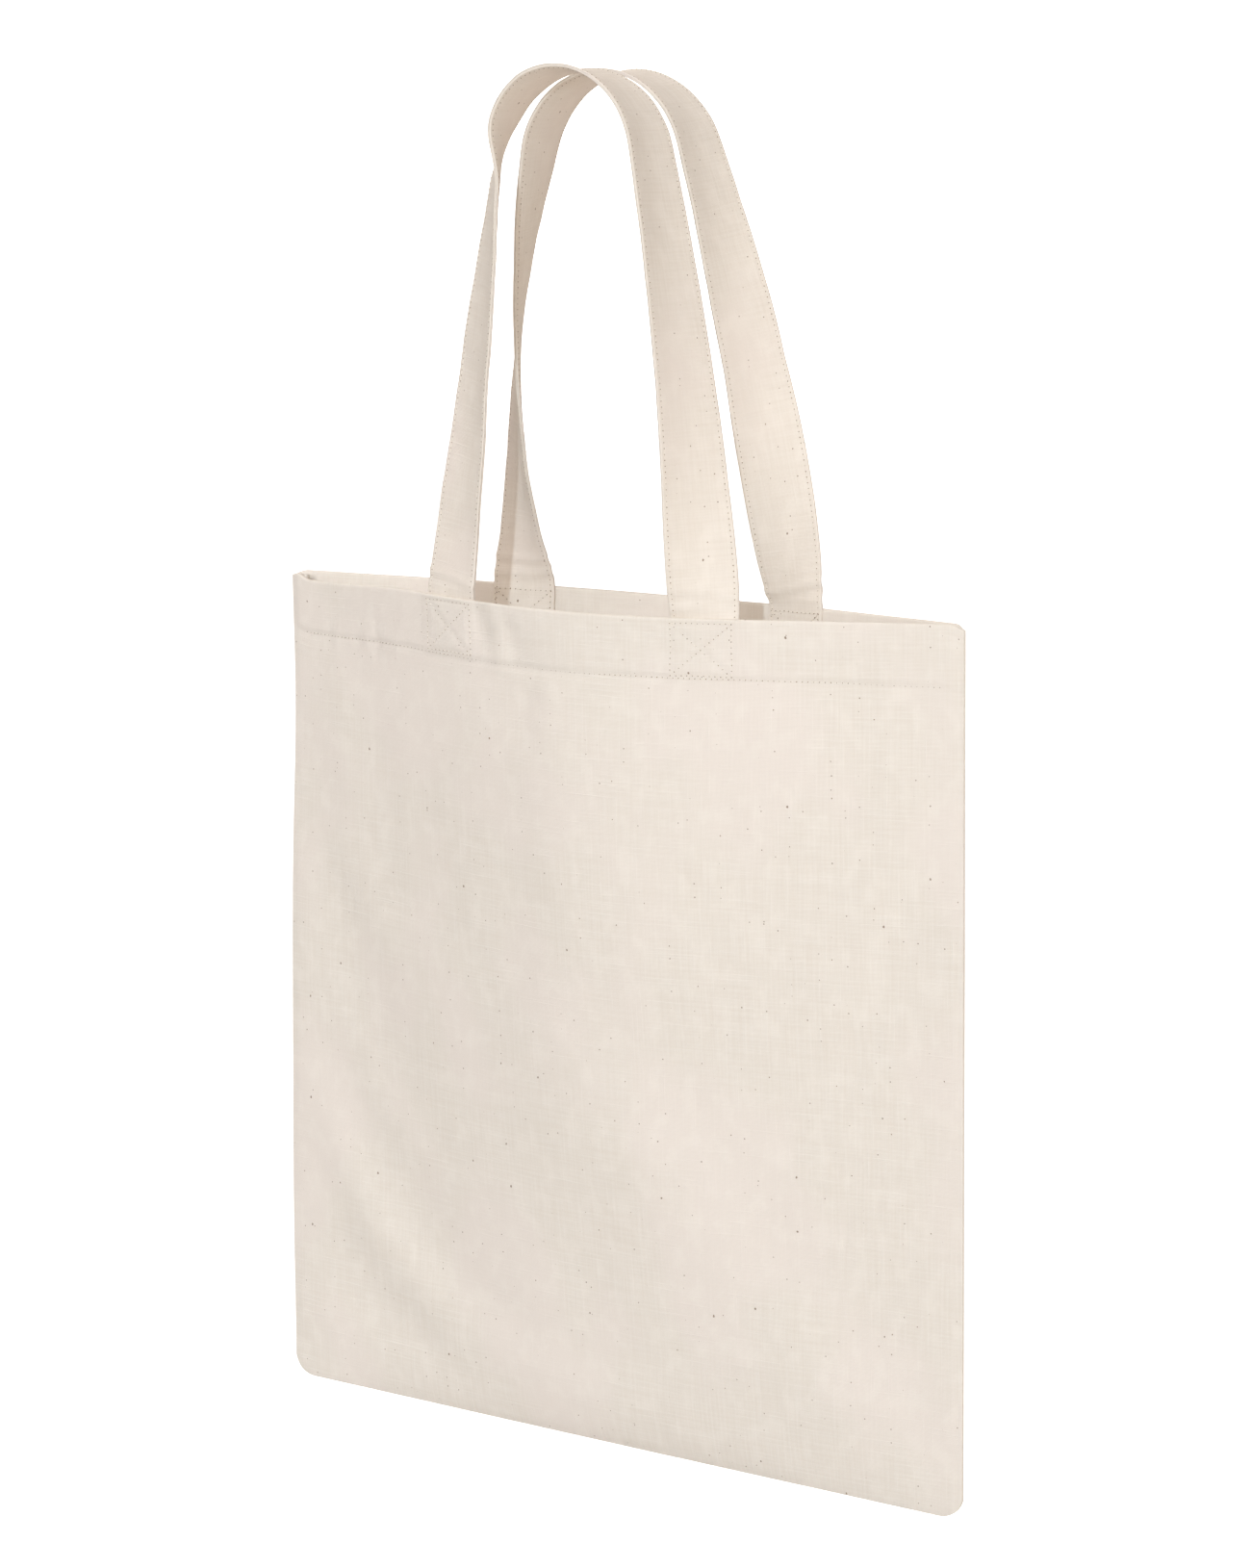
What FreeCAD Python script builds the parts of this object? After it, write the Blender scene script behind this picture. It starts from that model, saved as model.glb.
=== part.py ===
import FreeCAD, Part

import math
import os

# Canvas tote bag, hanging open from its two handles. Millimetres, +Z up.
# The origin is the point it hangs from, under the tops of the two handles.
# X runs across the bag, -Y is its front, and the side seams lie in the plane Y = 0.

Vec = FreeCAD.Vector
FRONT = -1
BACK = 1
LEFT = -1
RIGHT = 1
SIDES = {"front": FRONT, "back": BACK}
HANDS = {"left": LEFT, "right": RIGHT}

# Cloth body
body_width = 381.0
body_height = 406.0
cloth_thickness = 0.7
layer_gap = 0.15
corner_radius = 12.0
seam_allowance = 9.0

# How far each mouth edge stands out from the side seams at its middle, and sags there
mouth_bow = {FRONT: 37.0, BACK: 48.0}
mouth_sag = {FRONT: 3.0, BACK: 5.0}
# How sharply each mouth edge closes on the side seams: 0 is an even curve, 1 a pinched one
mouth_pinch = {FRONT: 0.5, BACK: 0.0}
# The cloth swells out just above the bottom seam
bottom_swell = 6.0
bottom_swell_height = 10.0

# Hem: the cloth turned in twice at the mouth
hem_depth = 29.0
hem_turns = 2

# Handles: folded strips whose tails are sewn inside the hem
strap_width = 32.0
strap_thickness = 2.0
strap_centre = {FRONT: 70.0, BACK: 75.0}
tail_clearance = 1.5
handle_rise = 239.0
crown_radius = 40.0
crown_spacing = 40.0
body_offset = 7.0
fold_clearance = 0.3

# Each leg of a handle: how far it bows outwards, and its twist at the stations
TWIST_STATIONS = (0.0, 0.1, 0.25, 0.45, 0.65, 0.85, 1.0)
LEGS = {
    (FRONT, LEFT): {"bow": 0.0, "twist": (14, 23, 29, 37, 47, 71, 90)},
    (FRONT, RIGHT): {"bow": 5.0, "twist": (14, 40, 60, 74, 81, 88, 90)},
    (BACK, LEFT): {"bow": 12.0, "twist": (-12, 20, 41, 56, 70, 87, 90)},
    (BACK, RIGHT): {"bow": 6.0, "twist": (-12, 10, 30, 58, 70, 84, 90)},
}

# Sewing thread
thread_width = 0.8
thread_rise = 0.3
box_margin = 2.0
edge_line_inset = 2.0

# Sections used to loft the sheets and the handles
SHEET_ROWS = 9
LEG_SECTIONS = 15
CROWN_SECTIONS = 5

# Worked out from the sizes above
mouth_level = -handle_rise
bottom_level = mouth_level - body_height
seam_half = cloth_thickness
skin_inner = seam_half
skin_outer = skin_inner + cloth_thickness
hem_outer = skin_inner - layer_gap
hem_inner = hem_outer - hem_turns * cloth_thickness
tail_outer = hem_inner - layer_gap
tail_inner = tail_outer - strap_thickness
tail_depth = hem_depth - tail_clearance
thread_inner = skin_outer + layer_gap
mean_bow = (mouth_bow[FRONT] + mouth_bow[BACK]) / 2
mouth_width = body_width - (8 / 3) * mean_bow ** 2 / body_width
hem_share = 1 - seam_allowance / (mouth_width / 2) - 0.002


def half_width(t):
    """Half the body's width at the height share t, from 0 at the bottom to 1 at the mouth."""
    return (body_width + (mouth_width - body_width) * t) / 2


def bow(side, t):
    """How far the middle of a panel stands out from the seams at the height share t."""
    swell = bottom_swell * (1 - math.exp(-t * body_height / bottom_swell_height))
    return swell + (mouth_bow[side] - bottom_swell) * t


def plan(side, s):
    """The share of the bow at the width share s, which is -1 and 1 at the side seams."""
    even = 1 - s * s
    pinched = math.cos(math.pi * s / 2) ** 2
    return (1 - mouth_pinch[side]) * even + mouth_pinch[side] * pinched


def panel_height(side, s):
    """The height of a panel's mouth edge above the bottom seam at the width share s."""
    return body_height - mouth_sag[side] * plan(side, s)


def corner_rise(s):
    """How far the rounded lower corner lifts the bottom edge at the width share s."""
    into = abs(s) * body_width / 2 - (body_width / 2 - corner_radius)
    if into <= 0:
        return 0.0
    return corner_radius - math.sqrt(max(corner_radius ** 2 - into ** 2, 0.0))


def sheet_point(side, s, t, offset):
    """A point on a layer of a panel, offset outwards from the seam plane's mid-layer."""
    x = body_offset + s * half_width(t)
    y = side * (offset + bow(side, t) * plan(side, s))
    return Vec(x, y, bottom_level + t * panel_height(side, s))


def spline_edge(points):
    """One smooth edge through the points."""
    curve = Part.BSplineCurve()
    curve.interpolate(points)
    return curve.toShape()


def sheet_layer(side, shares, low, high, near, far):
    """A closed layer of cloth that follows a panel.

    shares are width shares; low and high give the height share of the layer's two
    edges at a width share; near and far are the offsets of its inner and outer faces.
    """
    sections = []
    for s in shares:
        rows = [low(s) + (high(s) - low(s)) * (k / (SHEET_ROWS - 1)) ** 2.5 for k in range(SHEET_ROWS)]
        outer = [sheet_point(side, s, t, far) for t in rows]
        inner = [sheet_point(side, s, t, near) for t in reversed(rows)]
        edges = [
            spline_edge(outer),
            Part.makeLine(outer[-1], inner[0]),
            spline_edge(inner),
            Part.makeLine(inner[-1], outer[0]),
        ]
        sections.append(Part.Wire(edges))
    return Part.makeLoft(sections, True, False)


def even_shares(first, last, count):
    """Evenly spaced width shares."""
    return [first + (last - first) * k / (count - 1) for k in range(count)]


def panel(side):
    """One canvas panel, from the bottom seam to the folded edge of the mouth."""
    radius_share = corner_radius / (body_width / 2)
    corner = [1 - radius_share + radius_share * math.sin(a * math.pi / 8) for a in range(5)]
    approach = [1 - 2 * radius_share, 1 - 1.5 * radius_share]
    side_shares = approach + corner
    middle = even_shares(-approach[0], approach[0], 17)[1:-1]
    shares = [-s for s in reversed(side_shares)] + middle + side_shares
    low = lambda s: corner_rise(s) / panel_height(side, s)
    return sheet_layer(side, shares, low, lambda s: 1.0, skin_inner, skin_outer)


def hem(side):
    """The turned-in layers behind a panel's mouth edge."""
    shares = even_shares(-hem_share, hem_share, 15)
    low = lambda s: 1 - hem_depth / panel_height(side, s)
    return sheet_layer(side, shares, low, lambda s: 1.0, hem_inner, hem_outer)


def hem_stitching(side):
    """The row of thread that holds the hem, on the panel's outer face."""
    shares = even_shares(-hem_share, hem_share, 15)
    row = hem_depth - edge_line_inset
    low = lambda s: 1 - (row + thread_width / 2) / panel_height(side, s)
    high = lambda s: 1 - (row - thread_width / 2) / panel_height(side, s)
    return sheet_layer(side, shares, low, high, thread_inner, thread_inner + thread_rise)


def strap_share(side, hand, across=0.0):
    """The width share of a strap's centre, or of a place across it (-1 outer, 1 inner)."""
    x = strap_centre[side] - across * strap_width / 2
    return hand * x / (mouth_width / 2)


def tail(side, hand):
    """The end of a handle that is sewn inside the hem."""
    outer = strap_share(side, hand, -1.0)
    inner = strap_share(side, hand, 1.0)
    shares = even_shares(min(outer, inner), max(outer, inner), 5)
    low = lambda s: 1 - tail_depth / panel_height(side, s)
    return sheet_layer(side, shares, low, lambda s: 1.0, tail_inner, tail_outer)


def box_stitch(side, hand):
    """The sewn square with a cross that holds a tail, flat on the panel's outer face."""
    width = strap_width - 2 * box_margin
    height = tail_depth - 2 * box_margin
    half = thread_width / 2
    frame = Part.makeBox(width, thread_rise, height, Vec(-width / 2, 0, -height / 2))
    window = Part.makeBox(width - thread_width * 2, thread_rise, height - thread_width * 2,
                          Vec(-width / 2 + thread_width, 0, -height / 2 + thread_width))
    pattern = frame.cut(window)
    length = math.hypot(width, height) - 2 * thread_width
    slope = math.degrees(math.atan2(height, width))
    for turn in (-slope, slope):
        bar = Part.makeBox(length, thread_rise, thread_width, Vec(-length / 2, 0, -half))
        bar.rotate(Vec(0, 0, 0), Vec(0, 1, 0), turn)
        pattern = pattern.fuse(bar)
    pattern = pattern.removeSplitter()
    if side == FRONT:
        pattern.translate(Vec(0, -thread_rise, 0))
    s = strap_share(side, hand)
    t = 1 - (tail_depth / 2) / panel_height(side, s)
    place = sheet_point(side, s, t, thread_inner)
    along = sheet_point(side, s + 0.01, t, thread_inner) - sheet_point(side, s - 0.01, t, thread_inner)
    up = place - sheet_point(side, s, t - 0.01, thread_inner)
    pattern.rotate(Vec(0, 0, 0), Vec(1, 0, 0), -math.degrees(math.atan2(up.y, up.z)))
    pattern.rotate(Vec(0, 0, 0), Vec(0, 0, 1), math.degrees(math.atan2(along.y, along.x)))
    pattern.translate(place)
    return pattern


def side_seam(hand):
    """The seam allowance turned in between the panels down one side."""
    t_low = corner_radius / body_height
    low = Vec(body_offset + hand * half_width(t_low), 0, bottom_level + corner_radius)
    high = Vec(body_offset + hand * half_width(1.0), 0, mouth_level)
    inward = Vec(-hand * seam_allowance, 0, 0)
    return seam_plate([low, high, high + inward, low + inward])


def bottom_seam():
    """The seam allowance turned in between the panels along the bottom."""
    reach = body_width / 2 - corner_radius
    left = Vec(body_offset - reach, 0, bottom_level)
    right = Vec(body_offset + reach, 0, bottom_level)
    up = Vec(0, 0, seam_allowance)
    return seam_plate([left, right, right + up, left + up])


def seam_plate(corners):
    """A flat plate of two cloth layers between the panels, from its outline at Y = 0."""
    start = Vec(0, -seam_half, 0)
    outline = Part.makePolygon([c + start for c in corners] + [corners[0] + start])
    return Part.Face(outline).extrude(Vec(0, 2 * seam_half, 0))


def side_seam_stitching(hand):
    """The thread through the side seam allowance."""
    x = body_offset + hand * (half_width(0.0) - seam_allowance - thread_width)
    height = body_height - 2 * seam_allowance - corner_radius
    lean = math.degrees(math.atan2(hand * (half_width(1.0) - half_width(0.0)), body_height))
    run = Part.makeBox(thread_width, 2 * seam_half, height, Vec(-thread_width / 2, -seam_half, 0))
    run.rotate(Vec(0, 0, 0), Vec(0, 1, 0), lean)
    run.translate(Vec(x, 0, bottom_level + corner_radius + seam_allowance / 2))
    return run


def bottom_seam_stitching():
    """The thread that edges the bottom seam allowance."""
    length = body_width - 2 * corner_radius - 2 * seam_allowance
    corner = Vec(body_offset - length / 2, -seam_half, bottom_level + seam_allowance)
    return Part.makeBox(length, 2 * seam_half, thread_width, corner)


def foot(side, hand):
    """The centre of a handle's leg where it leaves its tail."""
    s = strap_share(side, hand)
    return sheet_point(side, s, 1.0, (tail_outer + tail_inner) / 2)


def fold_axis(side):
    """A point on the line that a handle folds about, just outside the mouth edge."""
    outer_s = strap_share(side, RIGHT, -1.0)
    inner_s = strap_share(side, RIGHT, 1.0)
    y = sheet_point(side, inner_s, 1.0, skin_outer).y
    z = sheet_point(side, outer_s, 1.0, skin_outer).z
    return Vec(0, y, z)


def twist(side, hand, u):
    """The angle of a leg's width from X at the height share u, by straight steps."""
    angles = LEGS[(side, hand)]["twist"]
    for k in range(len(TWIST_STATIONS) - 1):
        low, high = TWIST_STATIONS[k], TWIST_STATIONS[k + 1]
        if u <= high:
            return angles[k] + (angles[k + 1] - angles[k]) * (u - low) / (high - low)
    return angles[-1]


def leg_places(side, hand):
    """The centre line of one leg, from its foot up to the top of the crown.

    Each place is a height share, a centre point and the angle of the strap's width.
    The leg is straight, with a slight bow, and then turns on the crown's radius.
    """
    start = foot(side, hand)
    start.z = fold_axis(side).z + fold_clearance
    top = strap_thickness / 2
    rise = top - start.z
    reach = abs(start.x)
    arc_height = rise - crown_radius
    span = math.hypot(reach, arc_height)
    lean = math.acos(crown_radius / span) - math.atan2(arc_height, reach)
    arc_start = (crown_radius * math.cos(lean), arc_height + crown_radius * math.sin(lean))
    outline = []
    for k in range(LEG_SECTIONS):
        f = k / LEG_SECTIONS
        outline.append((reach + (arc_start[0] - reach) * f, arc_start[1] * f))
    for k in range(CROWN_SECTIONS):
        a = lean + (math.pi / 2 - lean) * k / CROWN_SECTIONS
        outline.append((crown_radius * math.cos(a), arc_height + crown_radius * math.sin(a)))
    outline.append((0.0, rise))
    places = []
    for across, height in outline:
        u = height / rise
        x = hand * (across + LEGS[(side, hand)]["bow"] * math.sin(math.pi * u))
        y = start.y + (side * crown_spacing / 2 - start.y) * u
        places.append((Vec(x, y, start.z + height), math.radians(twist(side, hand, u))))
    return places


def strap_section(place, tangent, angle, hand):
    """The strap's rectangular section across its centre line."""
    flat = Vec(math.cos(angle), hand * math.sin(angle), 0)
    flat = flat - tangent * flat.dot(tangent)
    flat.normalize()
    normal = tangent.cross(flat)
    across = flat * (strap_width / 2)
    through = normal * (strap_thickness / 2)
    corners = [place - across - through, place + across - through,
               place + across + through, place - across + through]
    return Part.makePolygon(corners + [corners[0]])


def handle_path(side):
    """The whole centre line of a handle, left foot to right foot, with its tangents."""
    left = leg_places(side, LEFT)
    right = leg_places(side, RIGHT)
    path = [(p, a, LEFT) for p, a in left[:-1]]
    path.append((left[-1][0], math.pi / 2, LEFT))
    path += [(p, math.pi - a, LEFT) for p, a in reversed(right[:-1])]
    tangents = []
    for k in range(len(path)):
        ahead = path[min(k + 1, len(path) - 1)][0]
        behind = path[max(k - 1, 0)][0]
        step = ahead - behind
        step.normalize()
        tangents.append(step)
    tangents[0] = Vec(0, 0, 1)
    tangents[-1] = Vec(0, 0, -1)
    return path, tangents


def handle_loop(side):
    """The free part of a handle: up from one foot, over the crown and down to the other."""
    path, tangents = handle_path(side)
    sections = []
    for (place, angle, hand), tangent in zip(path, tangents):
        sections.append(strap_section(place, tangent, angle, hand))
    return Part.makeLoft(sections, True, False)


def build():
    """Every piece by its node name."""
    pieces = {}
    for name, side in SIDES.items():
        pieces[name + "_panel"] = panel(side)
        pieces[name + "_hem"] = hem(side)
        pieces[name + "_hem_stitching"] = hem_stitching(side)
        pieces[name + "_handle"] = handle_loop(side)
        for hand_name, hand in HANDS.items():
            pieces[name + "_" + hand_name + "_tail"] = tail(side, hand)
            pieces[name + "_" + hand_name + "_box_stitch"] = box_stitch(side, hand)
    for hand_name, hand in HANDS.items():
        pieces[hand_name + "_side_seam"] = side_seam(hand)
        pieces[hand_name + "_seam_stitching"] = side_seam_stitching(hand)
    pieces["bottom_seam"] = bottom_seam()
    pieces["bottom_seam_stitching"] = bottom_seam_stitching()
    return pieces


os.makedirs("parts", exist_ok=True)
for node, shape in build().items():
    shape.exportStep("parts/" + node + ".step")
    box = shape.BoundBox
    print(node, shape.isValid(), len(shape.Solids), round(shape.Volume, 1),
          [round(v, 2) for v in (box.XMin, box.XMax, box.YMin, box.YMax, box.ZMin, box.ZMax)])
for name, side in SIDES.items():
    axis = fold_axis(side)
    print(name, "handle folds about Y", round(axis.y, 3), "Z", round(axis.z, 3))
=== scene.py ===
"""The looks of a plain canvas tote bag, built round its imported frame.

Metres, +Z up. The bag hangs from the origin by its two handles, with its front
towards -Y, and its side seams lie in the plane Y = 0. Each cloth piece is a sheet
cut flat, sewn and hung, so its pattern follows its own flat measure.
"""
import logging
import math
from dataclasses import dataclass, field
from enum import Enum
from typing import Callable, ClassVar

import bmesh
import bpy
import numpy as np
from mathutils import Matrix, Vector


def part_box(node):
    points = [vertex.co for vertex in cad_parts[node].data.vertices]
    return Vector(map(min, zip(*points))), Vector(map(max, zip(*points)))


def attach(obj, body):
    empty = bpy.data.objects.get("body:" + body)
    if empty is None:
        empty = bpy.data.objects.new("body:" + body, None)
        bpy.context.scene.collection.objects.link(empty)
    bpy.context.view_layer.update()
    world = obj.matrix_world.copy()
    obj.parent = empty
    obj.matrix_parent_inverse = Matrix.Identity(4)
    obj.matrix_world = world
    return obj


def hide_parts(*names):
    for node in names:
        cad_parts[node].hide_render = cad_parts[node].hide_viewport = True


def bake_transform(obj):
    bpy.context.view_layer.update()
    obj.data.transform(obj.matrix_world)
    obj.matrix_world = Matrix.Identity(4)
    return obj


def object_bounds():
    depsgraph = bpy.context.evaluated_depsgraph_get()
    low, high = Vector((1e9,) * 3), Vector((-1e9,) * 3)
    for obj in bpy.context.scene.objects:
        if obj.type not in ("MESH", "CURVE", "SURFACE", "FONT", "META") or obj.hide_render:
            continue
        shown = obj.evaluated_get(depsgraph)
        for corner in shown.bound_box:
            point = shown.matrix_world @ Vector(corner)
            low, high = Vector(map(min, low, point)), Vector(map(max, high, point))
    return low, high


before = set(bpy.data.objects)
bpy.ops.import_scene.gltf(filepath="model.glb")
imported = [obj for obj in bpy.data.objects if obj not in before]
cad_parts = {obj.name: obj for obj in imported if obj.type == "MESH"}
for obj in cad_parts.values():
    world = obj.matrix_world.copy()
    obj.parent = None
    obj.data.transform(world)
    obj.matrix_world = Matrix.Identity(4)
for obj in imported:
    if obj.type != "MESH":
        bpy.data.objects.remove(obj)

log = logging.getLogger("tote_bag")
MM = 0.001
CAD_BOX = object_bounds()
FLAT_MAP = "flat"
Array = np.ndarray
Colour = tuple[float, float, float]
Pair = tuple[float, float]
NOISE_SPAN = 2.4  # the breadth of cloth that a noise covers, in metres
SPARE_CELLS = 3  # cells past that breadth
CELL_MARGIN = 0.001  # keeps a place inside a table's last cell


class Side(Enum):
    """The two panels of the bag, by the sign of the way they face along Y."""

    FRONT = -1
    BACK = 1

    @property
    def label(self) -> str:
        """The side's name as the node names write it."""
        return self.name.lower()


class Hand(Enum):
    """The two ends of a handle, by the sign of where they are along X."""

    LEFT = -1
    RIGHT = 1

    @property
    def label(self) -> str:
        """The hand's name as the node names write it."""
        return self.name.lower()


class Slot(Enum):
    """The record's material slots that the pieces carry."""

    BODY = "body_canvas"
    HANDLE = "handle_canvas"
    SEAM = "seam_canvas"
    THREAD = "thread"


def smooth_step(x: Array) -> Array:
    """A share from 0 to 1 that starts and ends level."""
    x = np.clip(x, 0.0, 1.0)
    return x * x * (3.0 - 2.0 * x)


def bell(x: Array) -> Array:
    """A smooth hump, 1 high at 0 and about 1 wide on each side."""
    return np.exp(-np.square(x))


def level_step(x: Array) -> Array:
    """A share from 0 to 1 that starts and ends level and straight, for noise."""
    return x ** 3 * (x * (x * 6 - 15) + 10)


def between(table: Array, u: Array, v: Array, step: Callable[[Array], Array]) -> Array:
    """A table's values at places between its own.

    Args:
        table: the values, first by u and then by v.
        u: places along the first index, which may be fractions.
        v: places along the second index.
        step: how a value goes over to the next.

    Returns:
        The value at each place.
    """
    u = np.clip(u, 0, table.shape[0] - 1 - CELL_MARGIN)
    v = np.clip(v, 0, table.shape[1] - 1 - CELL_MARGIN)
    i, j = u.astype(int), v.astype(int)
    fu, fv = step(u - i), step(v - j)
    low = table[i, j] * (1 - fu) + table[i + 1, j] * fu
    high = table[i, j + 1] * (1 - fu) + table[i + 1, j + 1] * fu
    return low * (1 - fv) + high * fv


def cloth_noise(x: Array, y: Array, pitch: float, seed: int) -> Array:
    """Smooth noise over the flat cloth, from -1 to 1, the same each time.

    Args:
        x: places across, in metres.
        y: places along, in metres.
        pitch: how far apart its hills are.
        seed: which noise it is.

    Returns:
        The height of the noise at each place.
    """
    cells = int(NOISE_SPAN / pitch) + SPARE_CELLS
    table = np.random.default_rng(seed).uniform(-1.0, 1.0, (cells, cells))
    return between(table, (x + NOISE_SPAN / 2) / pitch, (y + NOISE_SPAN / 2) / pitch, level_step)


@dataclass(frozen=True)
class Fold:
    """A soft ridge in a hung cloth, or a valley where its height is negative.

    Places are (across from the middle, down from the mouth), in metres.
    """

    start: Pair
    end: Pair
    height: float
    left_width: float
    right_width: float
    fade: float = 0.35
    spread: float = 0.0

    def lift(self, x: Array, down: Array) -> Array:
        """How far the fold lifts the cloth.

        Args:
            x: across from the middle of the bag.
            down: down from the mouth edge.

        Returns:
            The lift at each place.
        """
        run = np.array(self.end) - np.array(self.start)
        length = float(np.hypot(*run))
        ax, ay = run / length
        along = ((x - self.start[0]) * ax + (down - self.start[1]) * ay) / length
        across = (x - self.start[0]) * ay - (down - self.start[1]) * ax
        grow = 1.0 + self.spread * np.clip(along, 0.0, 1.0)
        width = np.where(across < 0, self.left_width, self.right_width) * grow
        shown = smooth_step((along + self.fade / 2) / self.fade)
        shown = shown * smooth_step((1 + self.fade / 2 - along) / self.fade)
        return self.height * bell(across / width) * shown


# --------------------------------------------------------------------------- finishes


class Graph:
    """Adds and links the shader nodes of one material."""

    def __init__(self, name: str) -> None:
        """Starts an empty node material.

        Args:
            name: the material's name.
        """
        self.material = bpy.data.materials.new(name)
        self.material.use_nodes = True
        self.nodes = self.material.node_tree.nodes
        self.links = self.material.node_tree.links
        self.nodes.clear()

    def add(self, kind: str, **settings: object) -> bpy.types.Node:
        """Adds a node.

        Args:
            kind: the node's type.
            settings: its plain settings.

        Returns:
            The node.
        """
        node = self.nodes.new(kind)
        for key, value in settings.items():
            setattr(node, key, value)
        return node

    def feed(self, node: bpy.types.Node, socket: str | int, value: object) -> None:
        """Gives an input a link, where the value is an output, or else a constant.

        Args:
            node: the node.
            socket: its input.
            value: an output to link or the constant to set.
        """
        target = node.inputs[socket]
        if isinstance(value, bpy.types.NodeSocket):
            self.links.new(value, target)
        else:
            target.default_value = value

    def math(self, operation: str, a: object, b: object = 0.0,
             c: object = 0.0) -> bpy.types.NodeSocket:
        """Adds a Math node.

        Args:
            operation: what it works out.
            a: its first value.
            b: its second value.
            c: its third value.

        Returns:
            Its result.
        """
        node = self.add("ShaderNodeMath", operation=operation)
        for index, value in enumerate((a, b, c)):
            self.feed(node, index, value)
        return node.outputs[0]

    def ramp(self, value: object, low: float, high: float, to_low: float = 0.0,
             to_high: float = 1.0) -> bpy.types.NodeSocket:
        """A value moved smoothly from one range to another, and kept within it.

        Args:
            value: the value.
            low: where it starts.
            high: where it ends.
            to_low: the result at its start.
            to_high: the result at its end.

        Returns:
            The moved value.
        """
        node = self.add("ShaderNodeMapRange", interpolation_type="SMOOTHSTEP")
        for index, item in enumerate((value, low, high, to_low, to_high)):
            self.feed(node, index, item)
        return node.outputs[0]

    def blend(self, share: object, a: object, b: object) -> bpy.types.NodeSocket:
        """Two colours mixed.

        Args:
            share: the share of the second.
            a: the first colour.
            b: the second colour.

        Returns:
            The mixed colour.
        """
        node = self.add("ShaderNodeMix", data_type="RGBA")
        self.feed(node, 0, share)
        self.feed(node, 6, a)
        self.feed(node, 7, b)
        return node.outputs[2]

    def stretch(self, vector: object, scale: Pair) -> bpy.types.NodeSocket:
        """The flat measure scaled.

        Args:
            vector: the flat measure.
            scale: the scale across and along.

        Returns:
            The scaled measure.
        """
        node = self.add("ShaderNodeMapping", vector_type="POINT")
        self.feed(node, "Vector", vector)
        node.inputs["Scale"].default_value = (scale[0], scale[1], 1.0)
        return node.outputs[0]

    def noise(self, vector: object, detail: float = 2.0) -> bpy.types.NodeSocket:
        """A flat noise from 0 to 1, with hills about 1 apart.

        Args:
            vector: the flat measure.
            detail: how many finer noises are added.

        Returns:
            The noise.
        """
        node = self.add("ShaderNodeTexNoise", noise_dimensions="2D")
        self.feed(node, "Vector", vector)
        node.inputs["Scale"].default_value = 1.0
        node.inputs["Detail"].default_value = detail
        return node.outputs[0]

    def bump(self, height: object, distance: float, strength: float) -> bpy.types.NodeSocket:
        """The normal of a surface with a fine relief.

        Args:
            height: the relief.
            distance: the length that a height of 1 stands for.
            strength: the share of it that shows.

        Returns:
            The normal.
        """
        node = self.add("ShaderNodeBump")
        node.inputs["Distance"].default_value = distance
        node.inputs["Strength"].default_value = strength
        self.feed(node, "Height", height)
        return node.outputs[0]

    def surface(self, values: dict[str, object]) -> bpy.types.NodeSocket:
        """Adds a Principled shader.

        Args:
            values: a link or a constant for each of its named inputs.

        Returns:
            The shader.
        """
        node = self.add("ShaderNodeBsdfPrincipled")
        for socket, value in values.items():
            self.feed(node, socket, value)
        return node.outputs[0]

    def close(self, shader: object) -> bpy.types.Material:
        """Gives the material its shader and returns it."""
        self.feed(self.add("ShaderNodeOutputMaterial"), 0, shader)
        return self.material


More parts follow.
